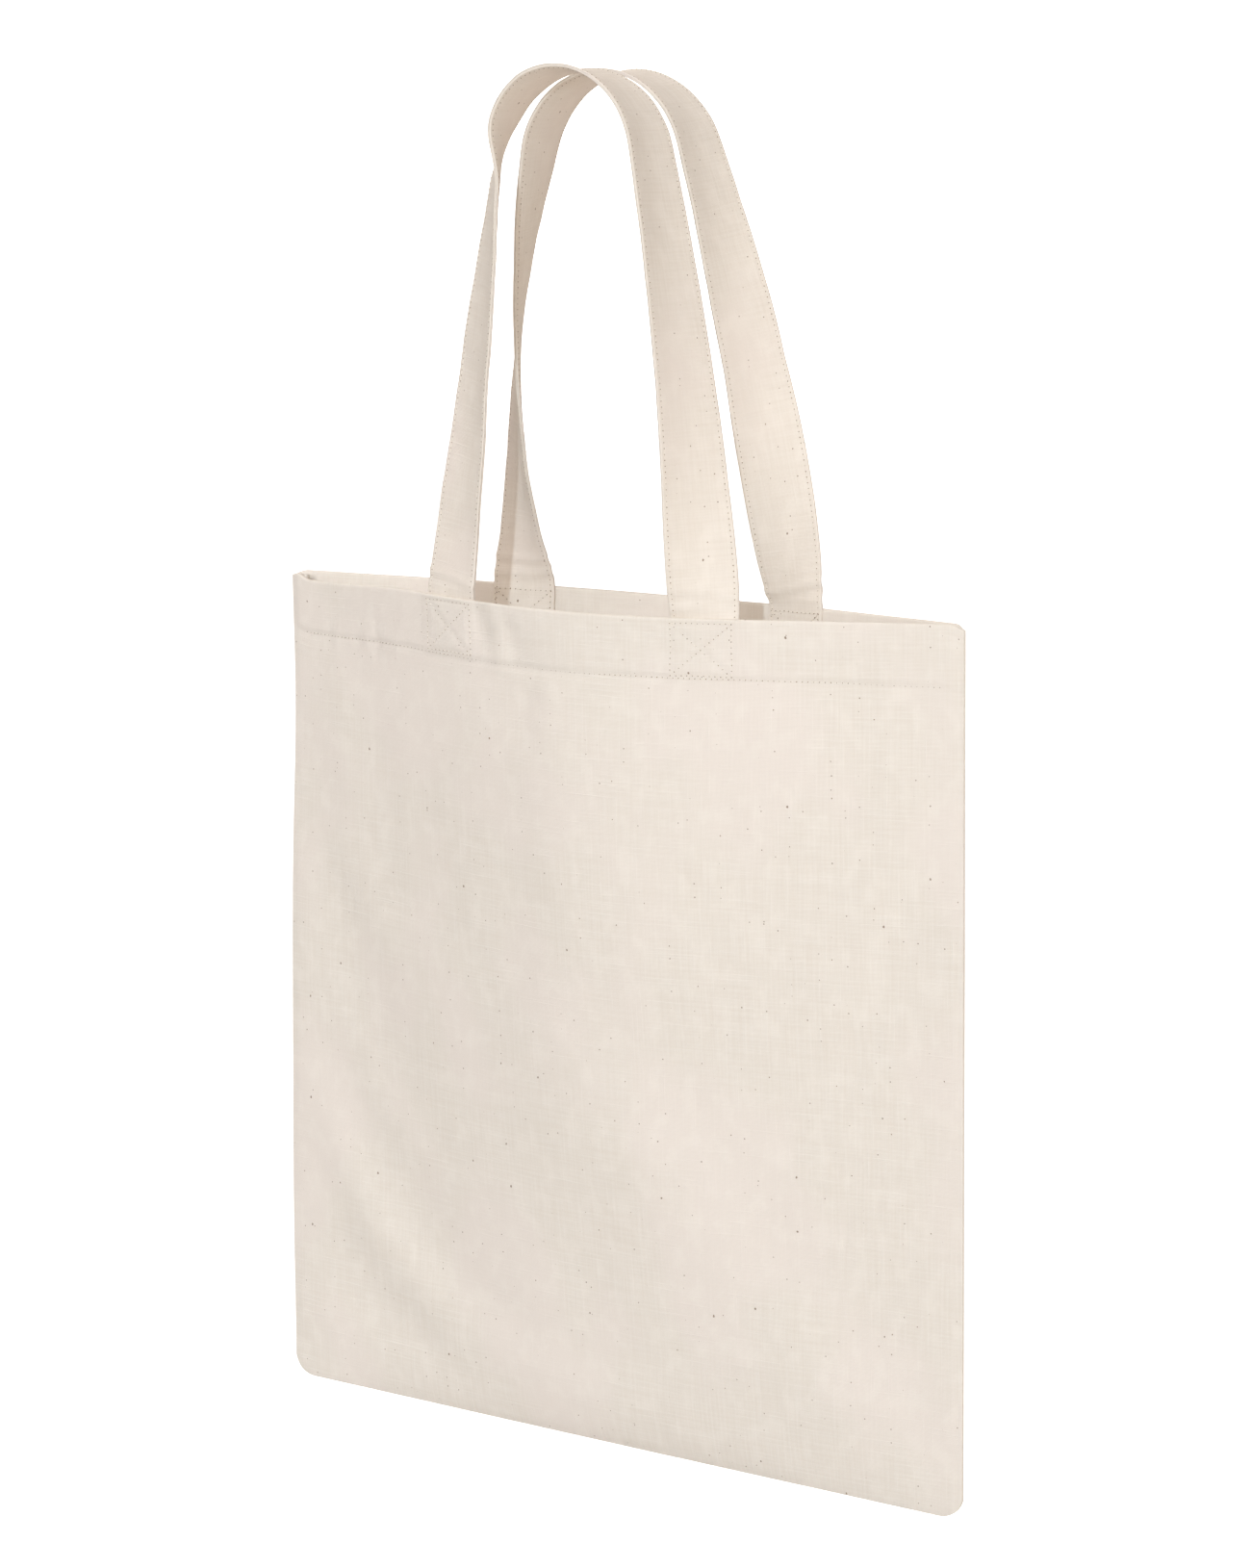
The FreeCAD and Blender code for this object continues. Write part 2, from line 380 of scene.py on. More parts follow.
@dataclass(frozen=True)
class CanvasFinish:
    """Natural cotton canvas: plain weave, uneven yarn, seed flecks, a soft bloom and painted shade
    in the gaps of the weave.
    """

    name: str
    base: Colour
    shade: Colour
    blush: Colour
    # the seed flecks' colour, also used for the painted shade in the gaps of the weave
    fleck: Colour = (0.20, 0.115, 0.06)
    fleck_share: float = 0.8
    marks: tuple[tuple[float, float, float], ...] = ()
    yarn_pitch: float = 0.55 * MM
    yarn_width: float = 1.21 * MM
    yarn_run: float = 34 * MM
    weave_depth: float = 0.16 * MM
    yarn_depth: float = 0.10 * MM
    yarn_tone: float = 0.75
    slub: Pair = (0.62, 0.78)
    slub_depth: float = 0.12 * MM
    cloud_size: Pair = (85 * MM, 110 * MM)
    cloud: Pair = (0.42, 0.62)
    cloud_share: float = 0.8
    mottle_size: Pair = (9 * MM, 12 * MM)
    mottle: Pair = (0.45, 0.75)
    mottle_share: float = 0.35
    mottle_tone: float = 1.05
    # painted shade in the gaps between the yarns: how far it reaches and how dark it is
    gap: float = 0.45
    gap_share: float = 0.10
    fleck_cell: float = 6.5 * MM
    fleck_size: float = 0.36 * MM
    fleck_kept: float = 0.30
    big_fleck_cell: float = 3.4
    big_fleck_size: float = 1.6
    big_fleck_kept: float = 0.35
    big_fleck_stretch: float = 0.8
    fleck_edge: float = 0.35
    bump: float = 0.55
    roughness: Pair = (0.97, 0.88)
    specular: float = 0.22
    sheen: float = 0.08
    sheen_roughness: float = 0.55
    see_through: float = 0.15

    def flecks(self, graph: Graph, flat: object, cell: float, size: float,
               kept: float) -> bpy.types.NodeSocket:
        """Scattered specks of cotton seed.

        Args:
            graph: the material's graph.
            flat: the flat measure.
            cell: how far apart they may lie.
            size: the radius of the largest.
            kept: the share of cells that have one.

        Returns:
            The share of seed speck at each place.
        """
        wobble = graph.noise(graph.stretch(flat, (1 / size, 1 / size)), 1.0)
        spots = graph.add("ShaderNodeTexVoronoi", voronoi_dimensions="2D", feature="F1")
        graph.feed(spots, "Vector", graph.stretch(flat, (1 / cell, 1 / cell)))
        spots.inputs["Scale"].default_value = 1.0
        colour = graph.add("ShaderNodeSeparateColor")
        graph.feed(colour, 0, spots.outputs["Color"])
        size_share = graph.ramp(colour.outputs[0], 1 - kept, 1.0, 0.0, size / cell)
        away = graph.math("MULTIPLY", spots.outputs["Distance"], graph.math("ADD", wobble, 0.5))
        inside = graph.math("SUBTRACT", size_share, away)
        return graph.ramp(inside, 0.0, self.fleck_edge * size / cell)

    def specks(self, graph: Graph, flat: object) -> bpy.types.NodeSocket:
        """The cloth's seed flecks, small, large and placed.

        Args:
            graph: the material's graph.
            flat: the flat measure.

        Returns:
            The share of seed speck at each place.
        """
        small = self.flecks(graph, flat, self.fleck_cell, self.fleck_size, self.fleck_kept)
        large = self.flecks(graph, graph.stretch(flat, (1.0, self.big_fleck_stretch)),
                            self.big_fleck_cell * self.fleck_cell,
                            self.big_fleck_size * self.fleck_size, self.big_fleck_kept)
        specks = graph.math("MULTIPLY", graph.math("MAXIMUM", small, large), self.fleck_share)
        for across, along, size in self.marks:
            away = graph.add("ShaderNodeVectorMath", operation="DISTANCE")
            graph.feed(away, 0, flat)
            graph.feed(away, 1, (across, along, 0.0))
            mark = graph.ramp(away.outputs["Value"], size / 2, size, 1.0, 0.0)
            specks = graph.math("MAXIMUM", specks, mark)
        return specks

    def material(self) -> bpy.types.Material:
        """Builds the finish as a node material that reads the flat measure.

        Returns:
            The material.
        """
        graph = Graph(self.name)
        flat = graph.add("ShaderNodeUVMap", uv_map=FLAT_MAP).outputs[0]
        parts = graph.add("ShaderNodeSeparateXYZ")
        graph.feed(parts, 0, flat)
        turn = math.pi / self.yarn_pitch
        warp = graph.math("SINE", graph.math("MULTIPLY", parts.outputs[0], turn))
        weft = graph.math("SINE", graph.math("MULTIPLY", parts.outputs[1], turn))
        crossing = graph.math("ABSOLUTE", graph.math("MULTIPLY", warp, weft))
        weave = graph.math("SQRT", crossing)

        yarn, run = 1 / self.yarn_width, 1 / self.yarn_run
        warp_yarn = graph.noise(graph.stretch(flat, (yarn, run)), 3.0)
        weft_yarn = graph.noise(graph.stretch(flat, (run, yarn)), 3.0)
        yarns = graph.math("ADD", warp_yarn, weft_yarn)
        slub = graph.math("MAXIMUM", graph.ramp(warp_yarn, *self.slub),
                          graph.ramp(weft_yarn, *self.slub))

        cloud = graph.noise(graph.stretch(flat, tuple(1 / size for size in self.cloud_size)))
        mottle = graph.noise(graph.stretch(flat, tuple(1 / size for size in self.mottle_size)), 3.0)
        tone = graph.ramp(yarns, 1 - self.yarn_tone, 1 + self.yarn_tone)
        lighter = tuple(min(1.0, self.mottle_tone * part) for part in self.base)
        colour = graph.blend(tone, (*self.shade, 1.0), (*self.base, 1.0))
        layers = (
            (graph.ramp(cloud, *self.cloud, 0.0, self.cloud_share), self.blush),
            (graph.ramp(mottle, *self.mottle, 0.0, self.mottle_share), lighter),
            # painted shade: the gaps between the yarns are darkened with the seed flecks' colour
            (graph.ramp(weave, 0.0, self.gap, self.gap_share, 0.0), self.fleck),
            (self.specks(graph, flat), self.fleck),
        )
        for share, tint in layers:
            colour = graph.blend(share, colour, (*tint, 1.0))

        height = graph.math("MULTIPLY", weave, self.weave_depth)
        height = graph.math("MULTIPLY_ADD", yarns, self.yarn_depth, height)
        height = graph.math("MULTIPLY_ADD", slub, self.slub_depth, height)
        shader = graph.surface({
            "Base Color": colour,
            "Roughness": graph.ramp(weave, 0.0, 1.0, *self.roughness),
            "Normal": graph.bump(height, 1.0, self.bump),
            "Specular IOR Level": self.specular,
            "Sheen Weight": self.sheen,
            "Sheen Roughness": self.sheen_roughness,
        })
        through = graph.add("ShaderNodeBsdfTranslucent")
        graph.feed(through, "Color", colour)
        cloth = graph.add("ShaderNodeMixShader")
        for index, value in enumerate((self.see_through, shader, through.outputs[0])):
            graph.feed(cloth, index, value)
        return graph.close(cloth.outputs[0])


@dataclass(frozen=True)
class ThreadFinish:
    """Twisted cotton sewing thread, with painted shade in the grooves between its plies."""

    BANDS: ClassVar[float] = 0.3  # a wave texture's scale for bands one unit apart
    name: str
    base: Colour
    # the colour of the painted shade in the grooves between the plies
    shade: Colour
    ply_pitch: float = 0.35 * MM
    ply_depth: float = 0.05 * MM
    wander: float = 1.5
    bump: float = 0.5
    roughness: float = 0.8
    specular: float = 0.25

    def material(self) -> bpy.types.Material:
        """Builds the thread as a node material with its plies across the place it lies.

        Returns:
            The material.
        """
        graph = Graph(self.name)
        place = graph.add("ShaderNodeTexCoord").outputs["Object"]
        plies = graph.add("ShaderNodeTexWave", wave_type="BANDS", bands_direction="DIAGONAL")
        graph.feed(plies, "Vector", place)
        plies.inputs["Scale"].default_value = self.BANDS / self.ply_pitch
        plies.inputs["Distortion"].default_value = self.wander
        ply = plies.outputs["Fac"]
        return graph.close(graph.surface({
            # painted shade: the thread takes its darker colour where the plies' relief is low
            "Base Color": graph.blend(ply, (*self.shade, 1.0), (*self.base, 1.0)),
            "Normal": graph.bump(ply, self.ply_depth, self.bump),
            "Roughness": self.roughness,
            "Specular IOR Level": self.specular,
        }))


@dataclass(frozen=True)
class Finishes:
    """The bag's finishes, each built once."""

    canvas: bpy.types.Material
    strap: bpy.types.Material
    thread: bpy.types.Material
    # painted shade inside the needle holes
    hole: bpy.types.Material

    @classmethod
    def build(cls) -> "Finishes":
        """Builds every finish.

        Returns:
            The finishes.
        """
        canvas = CanvasFinish("natural_canvas", base=(0.842, 0.802, 0.744),
                              shade=(0.780, 0.726, 0.655), blush=(0.832, 0.774, 0.720),
                              marks=((-46.0 * MM, -63.0 * MM, 0.55 * MM),))
        strap = CanvasFinish("strap_canvas", base=(0.845, 0.796, 0.732),
                             shade=(0.775, 0.714, 0.638), blush=(0.830, 0.762, 0.704),
                             fleck_cell=6.0 * MM, marks=((-9.0 * MM, 44.5 * MM, 0.8 * MM),))
        thread = ThreadFinish("cotton_thread", base=(0.84, 0.79, 0.72),
                              shade=(0.74, 0.675, 0.59))
        # painted shade: dark beads stand for the shade inside the needle holes
        hole = ThreadFinish("needle_hole_shade", base=(0.34, 0.26, 0.19), shade=(0.26, 0.19, 0.13))
        return cls(canvas.material(), strap.material(), thread.material(), hole.material())


# --------------------------------------------------------------------------- the form


@dataclass(frozen=True)
class BagForm:
    """The shape in which the sewn cloth hangs, the same as the frame's.

    A place on a panel is (s, t): s from -1 to 1 between the side seams and t from 0
    at the bottom seam to 1 at the mouth. Offsets are outwards from the seam plane's
    mid-layer.
    """

    centre_x: float
    mouth_z: float
    bottom_z: float
    body_width: float = 381 * MM
    cloth: float = 0.7 * MM
    corner_radius: float = 12 * MM
    seam_allowance: float = 9 * MM
    front_bow: float = 37 * MM
    back_bow: float = 48 * MM
    front_sag: float = 3 * MM
    back_sag: float = 5 * MM
    front_pinch: float = 0.5
    swell: float = 6 * MM
    swell_height: float = 10 * MM
    hem_depth: float = 29 * MM
    skin_middle: float = 1.05 * MM
    hem_middle: float = -0.5 * MM
    hem_back: float = 0.2 * MM
    stitch_row: float = 27 * MM
    drawn: float = 1.6 * MM
    drawn_most: float = 2.4 * MM
    drawn_right: float = 0.5 * MM
    settled: float = 1.3 * MM
    drawn_at: float = 66 * MM
    drawn_reach: float = 60 * MM
    drawn_share: int = 4
    mouth_corner: float = 3.2 * MM
    mouth_drop: float = 2.2 * MM
    mouth_fade: float = 18 * MM
    mouth_dip: float = 3.6 * MM
    dip_fade: float = 60 * MM
    dip_left: float = 0.07
    dip_end: float = -0.5
    dip_right: float = 0.42

    @classmethod
    def from_frame(cls) -> "BagForm":
        """The form, at the place and height of the frame's panels.

        Returns:
            The form.
        """
        low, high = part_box("front_panel")
        return cls((low.x + high.x) / 2, high.z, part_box("bottom_seam")[0].z - cls.settled)

    @property
    def body_height(self) -> float:
        """From the bottom seam to the corners of the mouth."""
        return self.mouth_z - self.bottom_z

    @property
    def mouth_width(self) -> float:
        """Between the side seams at the mouth, by the length of a shallow bow."""
        mean_bow = (self.front_bow + self.back_bow) / 2
        return self.body_width - 8 / 3 * mean_bow ** 2 / self.body_width

    def half_width(self, t: Array) -> Array:
        """Half the width between the side seams."""
        return (self.body_width + (self.mouth_width - self.body_width) * t) / 2

    def edge(self, hand: float, t: Array) -> Array:
        """How far a side seam, which the cloth pulls in a little, is from the middle.

        Args:
            hand: which side seam, by the sign of its X; an array may hold both.
            t: the height share.

        Returns:
            The distance at each height.
        """
        down = (1 - t) * self.body_height
        upper = self.drawn_most * bell((down - self.drawn_at) / self.drawn_reach)
        lower = self.drawn * bell((down - self.body_height) / self.drawn_reach)
        left = self.drawn + upper + lower
        return self.half_width(t) - np.where(np.sign(hand) < 0, left, self.drawn_right)

    def bow(self, side: Side, t: Array) -> Array:
        """How far the middle of a panel stands out from the seams.

        Args:
            side: which panel.
            t: the height share.

        Returns:
            The bow at each height.
        """
        mouth = self.front_bow if side is Side.FRONT else self.back_bow
        rise = np.maximum(t, 0.0) * self.body_height / self.swell_height
        return self.swell * (1 - np.exp(-rise)) + (mouth - self.swell) * t

    def plan(self, side: Side, s: Array) -> Array:
        """The share of the bow at a share of the width."""
        pinch = self.front_pinch if side is Side.FRONT else 0.0
        return (1 - pinch) * (1 - s * s) + pinch * np.cos(np.pi * s / 2) ** 2

    def panel_height(self, side: Side, s: Array) -> Array:
        """From the bottom seam to a panel's mouth edge, which sags in its middle."""
        sag = self.front_sag if side is Side.FRONT else self.back_sag
        return self.body_height - sag * self.plan(side, s)

    def corner_rise(self, s: Array) -> Array:
        """How far the rounded lower corner lifts the bottom edge.

        Args:
            s: the width share.

        Returns:
            The rise at each place.
        """
        into = np.abs(s) * self.body_width / 2 - (self.body_width / 2 - self.corner_radius)
        into = np.clip(into, 0.0, self.corner_radius)
        return self.corner_radius - np.sqrt(self.corner_radius ** 2 - into ** 2)

    def place(self, side: Side, s: Array, t: Array, offset: Array) -> Array:
        """Points on a layer of a panel.

        Args:
            side: which panel.
            s: the width share.
            t: the height share.
            offset: outwards from the seam plane's mid-layer.

        Returns:
            The points.
        """
        s, t, offset = np.broadcast_arrays(s, t, offset)
        pulled = (self.half_width(t) - self.edge(s, t)) * np.abs(s) ** self.drawn_share
        x = self.centre_x + s * self.half_width(t) - np.sign(s) * pulled
        y = side.value * (offset + self.bow(side, t) * self.plan(side, s))
        z = self.bottom_z + t * self.panel_height(side, s)
        corner = bell((1 - np.abs(s)) * self.half_width(t) / self.mouth_corner)
        below = (t - 1) * self.body_height
        if side is Side.FRONT:
            dip = smooth_step((1 + s) / self.dip_left)
            dip = dip * smooth_step((self.dip_end - s) / self.dip_right)
            z = z - self.mouth_dip * dip * smooth_step(below / self.dip_fade + 1)
        z = z - self.mouth_drop * corner * smooth_step(below / self.mouth_fade + 1)
        return np.stack([x, y, z], axis=-1)

    def at(self, side: Side, x: Array, down: Array, offset: Array) -> Array:
        """Points on a layer of a panel, by lengths instead of shares.

        Args:
            side: which panel.
            x: across from the middle of the bag.
            down: down from the mouth edge.
            offset: outwards from the seam plane's mid-layer.

        Returns:
            The points.
        """
        s = x / (self.mouth_width / 2)
        for _ in range(3):
            t = 1 - down / self.panel_height(side, s)
            s = x / self.half_width(t)
        return self.place(side, s, t, offset)


@dataclass(frozen=True)
class Tail:
    """Where one end of a handle is sewn inside a hem."""

    side: Side
    hand: Hand
    centre: float
    aside: float
    width: float = 32 * MM
    depth: float = 27.5 * MM
    margin: float = 2 * MM

    @property
    def middle(self) -> float:
        """Its middle, across from the middle of the bag."""
        return self.hand.value * self.centre + self.aside

    @property
    def name(self) -> str:
        """Its name as the node names write it."""
        return f"{self.side.label}_{self.hand.label}"

    def cover(self, x: Array, down: Array, edge: float) -> Array:
        """The share by which the tail lifts the cloth over it, with soft edges."""
        inside = np.minimum(self.width / 2 - np.abs(x - self.middle), self.depth - down)
        return smooth_step(inside / edge + 0.5)


STRAP_CENTRE = {Side.FRONT: 70 * MM, Side.BACK: 75 * MM}
SEWN_ASIDE = {
    (Side.FRONT, Hand.LEFT): 0.0,
    (Side.FRONT, Hand.RIGHT): -1.8 * MM,
    (Side.BACK, Hand.LEFT): 2.2 * MM,
    (Side.BACK, Hand.RIGHT): 2.8 * MM,
}
TAILS = [Tail(side, hand, STRAP_CENTRE[side], SEWN_ASIDE[(side, hand)])
         for side in Side for hand in Hand]


@dataclass(frozen=True)
class Drape:
    """How far a panel's cloth sags from its smooth form when it hangs, by simulation.

    A coarse sheet, cut a little larger than the form and held at its hem and its
    seams, falls until it settles.
    """

    form: BagForm
    side: Side
    columns: int = 46
    rows: int = 50
    frames: int = 26
    ease: float = -0.006
    mass: float = 0.25
    stiffness: float = 18.0
    bending: float = 0.25
    quality: int = 6
    air_damping: float = 2.0
    held_side: float = 0.97
    held_foot: float = 0.03
    most: float = 2.4 * MM
    smoothing: int = 2

    def shares(self) -> tuple[Array, Array]:
        """The coarse sheet's places, as width and height shares."""
        return np.meshgrid(np.linspace(-1, 1, self.columns), np.linspace(0, 1, self.rows))

    def sheet(self) -> bpy.types.Object:
        """Makes the coarse sheet with its pins and its cloth settings.

        Returns:
            The sheet, ready to fall.
        """
        s, t = self.shares()
        points = self.form.place(self.side, s, t, self.form.skin_middle)
        mesh = bpy.data.meshes.new(f"{self.side.label}_drape")
        faces = grid_faces(self.rows, self.columns, False)
        mesh.from_pydata(points.reshape(-1, 3).tolist(), [], faces)
        piece = bpy.data.objects.new(mesh.name, mesh)
        bpy.context.scene.collection.objects.link(piece)
        hem = self.form.hem_depth / self.form.body_height
        held = (t > 1 - hem) | (np.abs(s) > self.held_side) | (t < self.held_foot)
        pins = piece.vertex_groups.new(name="held")
        pins.add([int(i) for i in np.flatnonzero(held.ravel())], 1.0, "REPLACE")
        cloth = piece.modifiers.new("hanging", "CLOTH")
        settings = {
            "quality": self.quality, "mass": self.mass, "air_damping": self.air_damping,
            "tension_stiffness": self.stiffness, "compression_stiffness": self.stiffness,
            "shear_stiffness": self.stiffness / 2, "bending_stiffness": self.bending,
            "shrink_min": self.ease, "vertex_group_mass": pins.name,
        }
        for key, value in settings.items():
            setattr(cloth.settings, key, value)
        cloth.collision_settings.use_collision = False
        cloth.point_cache.frame_end = self.frames
        return piece

    def settle(self) -> Array:
        """Runs the simulation.

        Returns:
            The sag outwards at the coarse places.
        """
        s, t = self.shares()
        piece = self.sheet()
        scene = bpy.context.scene
        for frame_number in range(1, self.frames + 1):
            scene.frame_set(frame_number)
        graph = bpy.context.evaluated_depsgraph_get()
        fallen = np.zeros(len(piece.data.vertices) * 3, np.float32)
        piece.evaluated_get(graph).data.vertices.foreach_get("co", fallen)
        scene.frame_set(1)
        start = self.form.place(self.side, s, t, self.form.skin_middle)
        out = (fallen.reshape(start.shape) - start)[..., 1] * self.side.value
        bpy.data.objects.remove(piece)
        for _ in range(self.smoothing):
            out = soften(soften(out, 1).T, 1).T
        log.info("%s panel's cloth settled: sag %.1f to %.1f mm", self.side.label,
                 out.min() / MM, out.max() / MM)
        return self.most * np.tanh(out / self.most)


def soften(values: Array, rounds: int) -> Array:
    """A line of values with each drawn towards its neighbours, ends kept.

    Args:
        values: the values, by their first index.
        rounds: how many times.

    Returns:
        The softened values.
    """
    values = values.copy()
    for _ in range(rounds):
        values[1:-1] = 0.25 * values[:-2] + 0.5 * values[1:-1] + 0.25 * values[2:]
    return values


@dataclass(frozen=True)
class Relief:
    """What shapes a panel's cloth beyond its smooth form: folds, puckers and sewing."""

    form: BagForm
    side: Side
    folds: tuple[Fold, ...]
    sag: Array
    seed: int
    tail_lift: float = 0.55 * MM
    tail_edge: float = 2.2 * MM
    hem_lift: float = 0.40 * MM
    hem_edge: float = 1.8 * MM
    row_wander: float = 0.5 * MM
    row_pitch: float = 40 * MM
    stitch_sink: float = 0.48 * MM
    stitch_reach: float = 1.0 * MM
    pucker: float = 0.50 * MM
    pucker_pitch: float = 7.0 * MM
    pucker_reach: float = 6.0 * MM
    pucker_above: float = 1.6
    pucker_slant: float = 0.25
    pucker_stretch: float = 0.16
    pucker_least: float = 0.6
    pucker_vary: float = 0.7
    patch_pitch: float = 60 * MM
    wave: float = 0.9 * MM
    wave_pitch: float = 58 * MM
    crumple: float = 0.20 * MM
    crumple_pitch: float = 15 * MM
    side_hold: float = 40 * MM
    foot_hold: float = 60 * MM
    side_edge: float = 6 * MM
    foot_edge: float = 8 * MM
    edge_draw: float = 0.35 * MM
    far: float = 1.0

    def hem_row(self, x: Array) -> Array:
        """How far the hem's stitching is below the mouth edge, which wanders a little."""
        wander = cloth_noise(x, 0 * x, self.row_pitch, self.seed + 5)
        return self.form.stitch_row + self.row_wander * wander

    def sagged(self, x: Array, down: Array) -> Array:
        """The settled cloth's sag, between the coarse places.

        Args:
            x: across from the middle of the bag.
            down: down from the mouth edge.

        Returns:
            The sag at each place.
        """
        rows, columns = self.sag.shape
        t = 1 - down / self.form.body_height
        across = (x / self.form.half_width(t) + 1) / 2 * (columns - 1)
        return between(self.sag.T, across, t * (rows - 1), smooth_step)

    def lift(self, x: Array, down: Array) -> Array:
        """How far the outer cloth stands out beyond the smooth form.

        Args:
            x: across from the middle of the bag.
            down: down from the mouth edge.

        Returns:
            The lift at each place.
        """
        edge = self.form.half_width(1 - down / self.form.body_height) - np.abs(x)
        foot = self.form.body_height - down
        freedom = smooth_step(edge / self.side_hold) * smooth_step(foot / self.foot_hold)
        total = self.wave * cloth_noise(x, down, self.wave_pitch, self.seed)
        for fold in self.folds:
            total = total + fold.lift(x, down)
        total = (total + self.sagged(x, down)) * freedom
        inner = smooth_step(edge / self.side_edge) * smooth_step(foot / self.foot_edge)
        crumple = cloth_noise(x, down, self.crumple_pitch, self.seed + 1)
        total = total + inner * self.crumple * crumple
        total = total - self.edge_draw * (1 - inner)
        total = total + self.hem(x, down) * inner
        for tail in TAILS:
            if tail.side is self.side:
                total = total + self.tail_lift * tail.cover(x, down, self.tail_edge)
                total = total - self.stitch_sink * self.box_rows(tail, x, down)
        return total

    def hem(self, x: Array, down: Array) -> Array:
        """The hem's thickness, its sunk row of stitches and the puckers beside it.

        Args:
            x: across from the middle of the bag.
            down: down from the mouth edge.

        Returns:
            The lift at each place.
        """
        below = down - self.hem_row(x)
        step = self.hem_lift * (1 - smooth_step(below / self.hem_edge + 0.5))
        sunk = self.stitch_sink * bell(below / self.stitch_reach)
        patch = cloth_noise(x, 0 * x, self.patch_pitch, self.seed + 3)
        patch = self.pucker_least + self.pucker_vary * patch
        ripple = cloth_noise(x + self.pucker_slant * below, self.pucker_stretch * down,
                             self.pucker_pitch, self.seed + 2)
        above = bell(below / (self.pucker_above * self.pucker_reach))
        fade = np.where(below > 0, bell(below / self.pucker_reach), above)
        return step - sunk + self.pucker * patch * ripple * fade

    def box_rows(self, tail: Tail, x: Array, down: Array) -> Array:
        """The stitch groove of a tail's sewn square and cross.

        Args:
            tail: the tail.
            x: across from the middle of the bag.
            down: down from the mouth edge.

        Returns:
            The share of groove at each place.
        """
        half_x = tail.width / 2 - tail.margin
        half_z = tail.depth / 2 - tail.margin
        u, v = x - tail.middle, down - tail.depth / 2
        out = np.maximum(np.abs(u) / half_x, np.abs(v) / half_z)
        to_frame = np.abs(out - 1) * min(half_x, half_z)
        slope = half_z / half_x
        to_cross = np.abs(np.abs(v) - slope * np.abs(u)) / math.hypot(1, slope)
        inside = (np.abs(u) < half_x) & (np.abs(v) < half_z)
        to_cross = np.where(inside, to_cross, self.far)
        return np.maximum(bell(to_frame / self.stitch_reach), bell(to_cross / self.stitch_reach))


# --------------------------------------------------------------------------- meshes


def new_piece(name: str, points: Array, faces: list[tuple[int, ...]], flat: Array | None,
              material: bpy.types.Material, smooth: bool = True) -> bpy.types.Object:
    """Makes a mesh piece at the origin.

    Args:
        name: the piece's name.
        points: its points, in metres.
        faces: its faces, by point.
        flat: the flat measure of each point, or None where the finish needs none.
        material: its finish.
        smooth: whether it is shaded smooth.

    Returns:
        The new object, linked to the scene.
    """
    mesh = bpy.data.meshes.new(name)
    mesh.from_pydata(points.reshape(-1, 3).tolist(), [], faces)
    if flat is not None:
        layer = mesh.uv_layers.new(name=FLAT_MAP)
        loops = np.zeros(len(mesh.loops), np.int32)
        mesh.loops.foreach_get("vertex_index", loops)
        layer.data.foreach_set("uv", flat.reshape(-1, 2)[loops].astype(np.float32).ravel())
    mesh.materials.append(material)
    mesh.polygons.foreach_set("use_smooth", [smooth] * len(mesh.polygons))
    mesh.update()
    piece = bpy.data.objects.new(name, mesh)
    bpy.context.scene.collection.objects.link(piece)
    return piece


def grid_faces(rows: int, columns: int, flip: bool,
               keep: Array | None = None) -> list[tuple[int, ...]]:
    """The faces of a grid of points, row by row.

    Args:
        rows: the number of rows of points.
        columns: the number of points in a row.
        flip: whether the faces point the other way.
        keep: which faces to keep, as a (rows - 1, columns - 1) array.

    Returns:
        The faces, by point.
    """
    faces = []
    for i in range(rows - 1):
        for j in range(columns - 1):
            if keep is None or keep[i, j]:
                a = i * columns + j
                quad = (a, a + 1, a + columns + 1, a + columns)
                faces.append(quad[::-1] if flip else quad)
    return faces


def thicken(piece: bpy.types.Object, thickness: float) -> None:
    """Gives a cloth sheet its thickness, half to each side.

    Args:
        piece: the sheet.
        thickness: its thickness.
    """
    solid = piece.modifiers.new("cloth_thickness", "SOLIDIFY")
    solid.thickness = thickness
    solid.offset = 0.0
    solid.use_even_offset = False
    solid.use_rim = True


def bake_modifiers(piece: bpy.types.Object) -> None:
    """Replaces a piece's mesh by the one that its modifiers make.

    Args:
        piece: the piece.
    """
    graph = bpy.context.evaluated_depsgraph_get()
    made = bpy.data.meshes.new_from_object(piece.evaluated_get(graph), depsgraph=graph)
    old = piece.data
    piece.modifiers.clear()
    piece.data = made
    made.name = piece.name
    bpy.data.meshes.remove(old)


# --------------------------------------------------------------------------- the panels


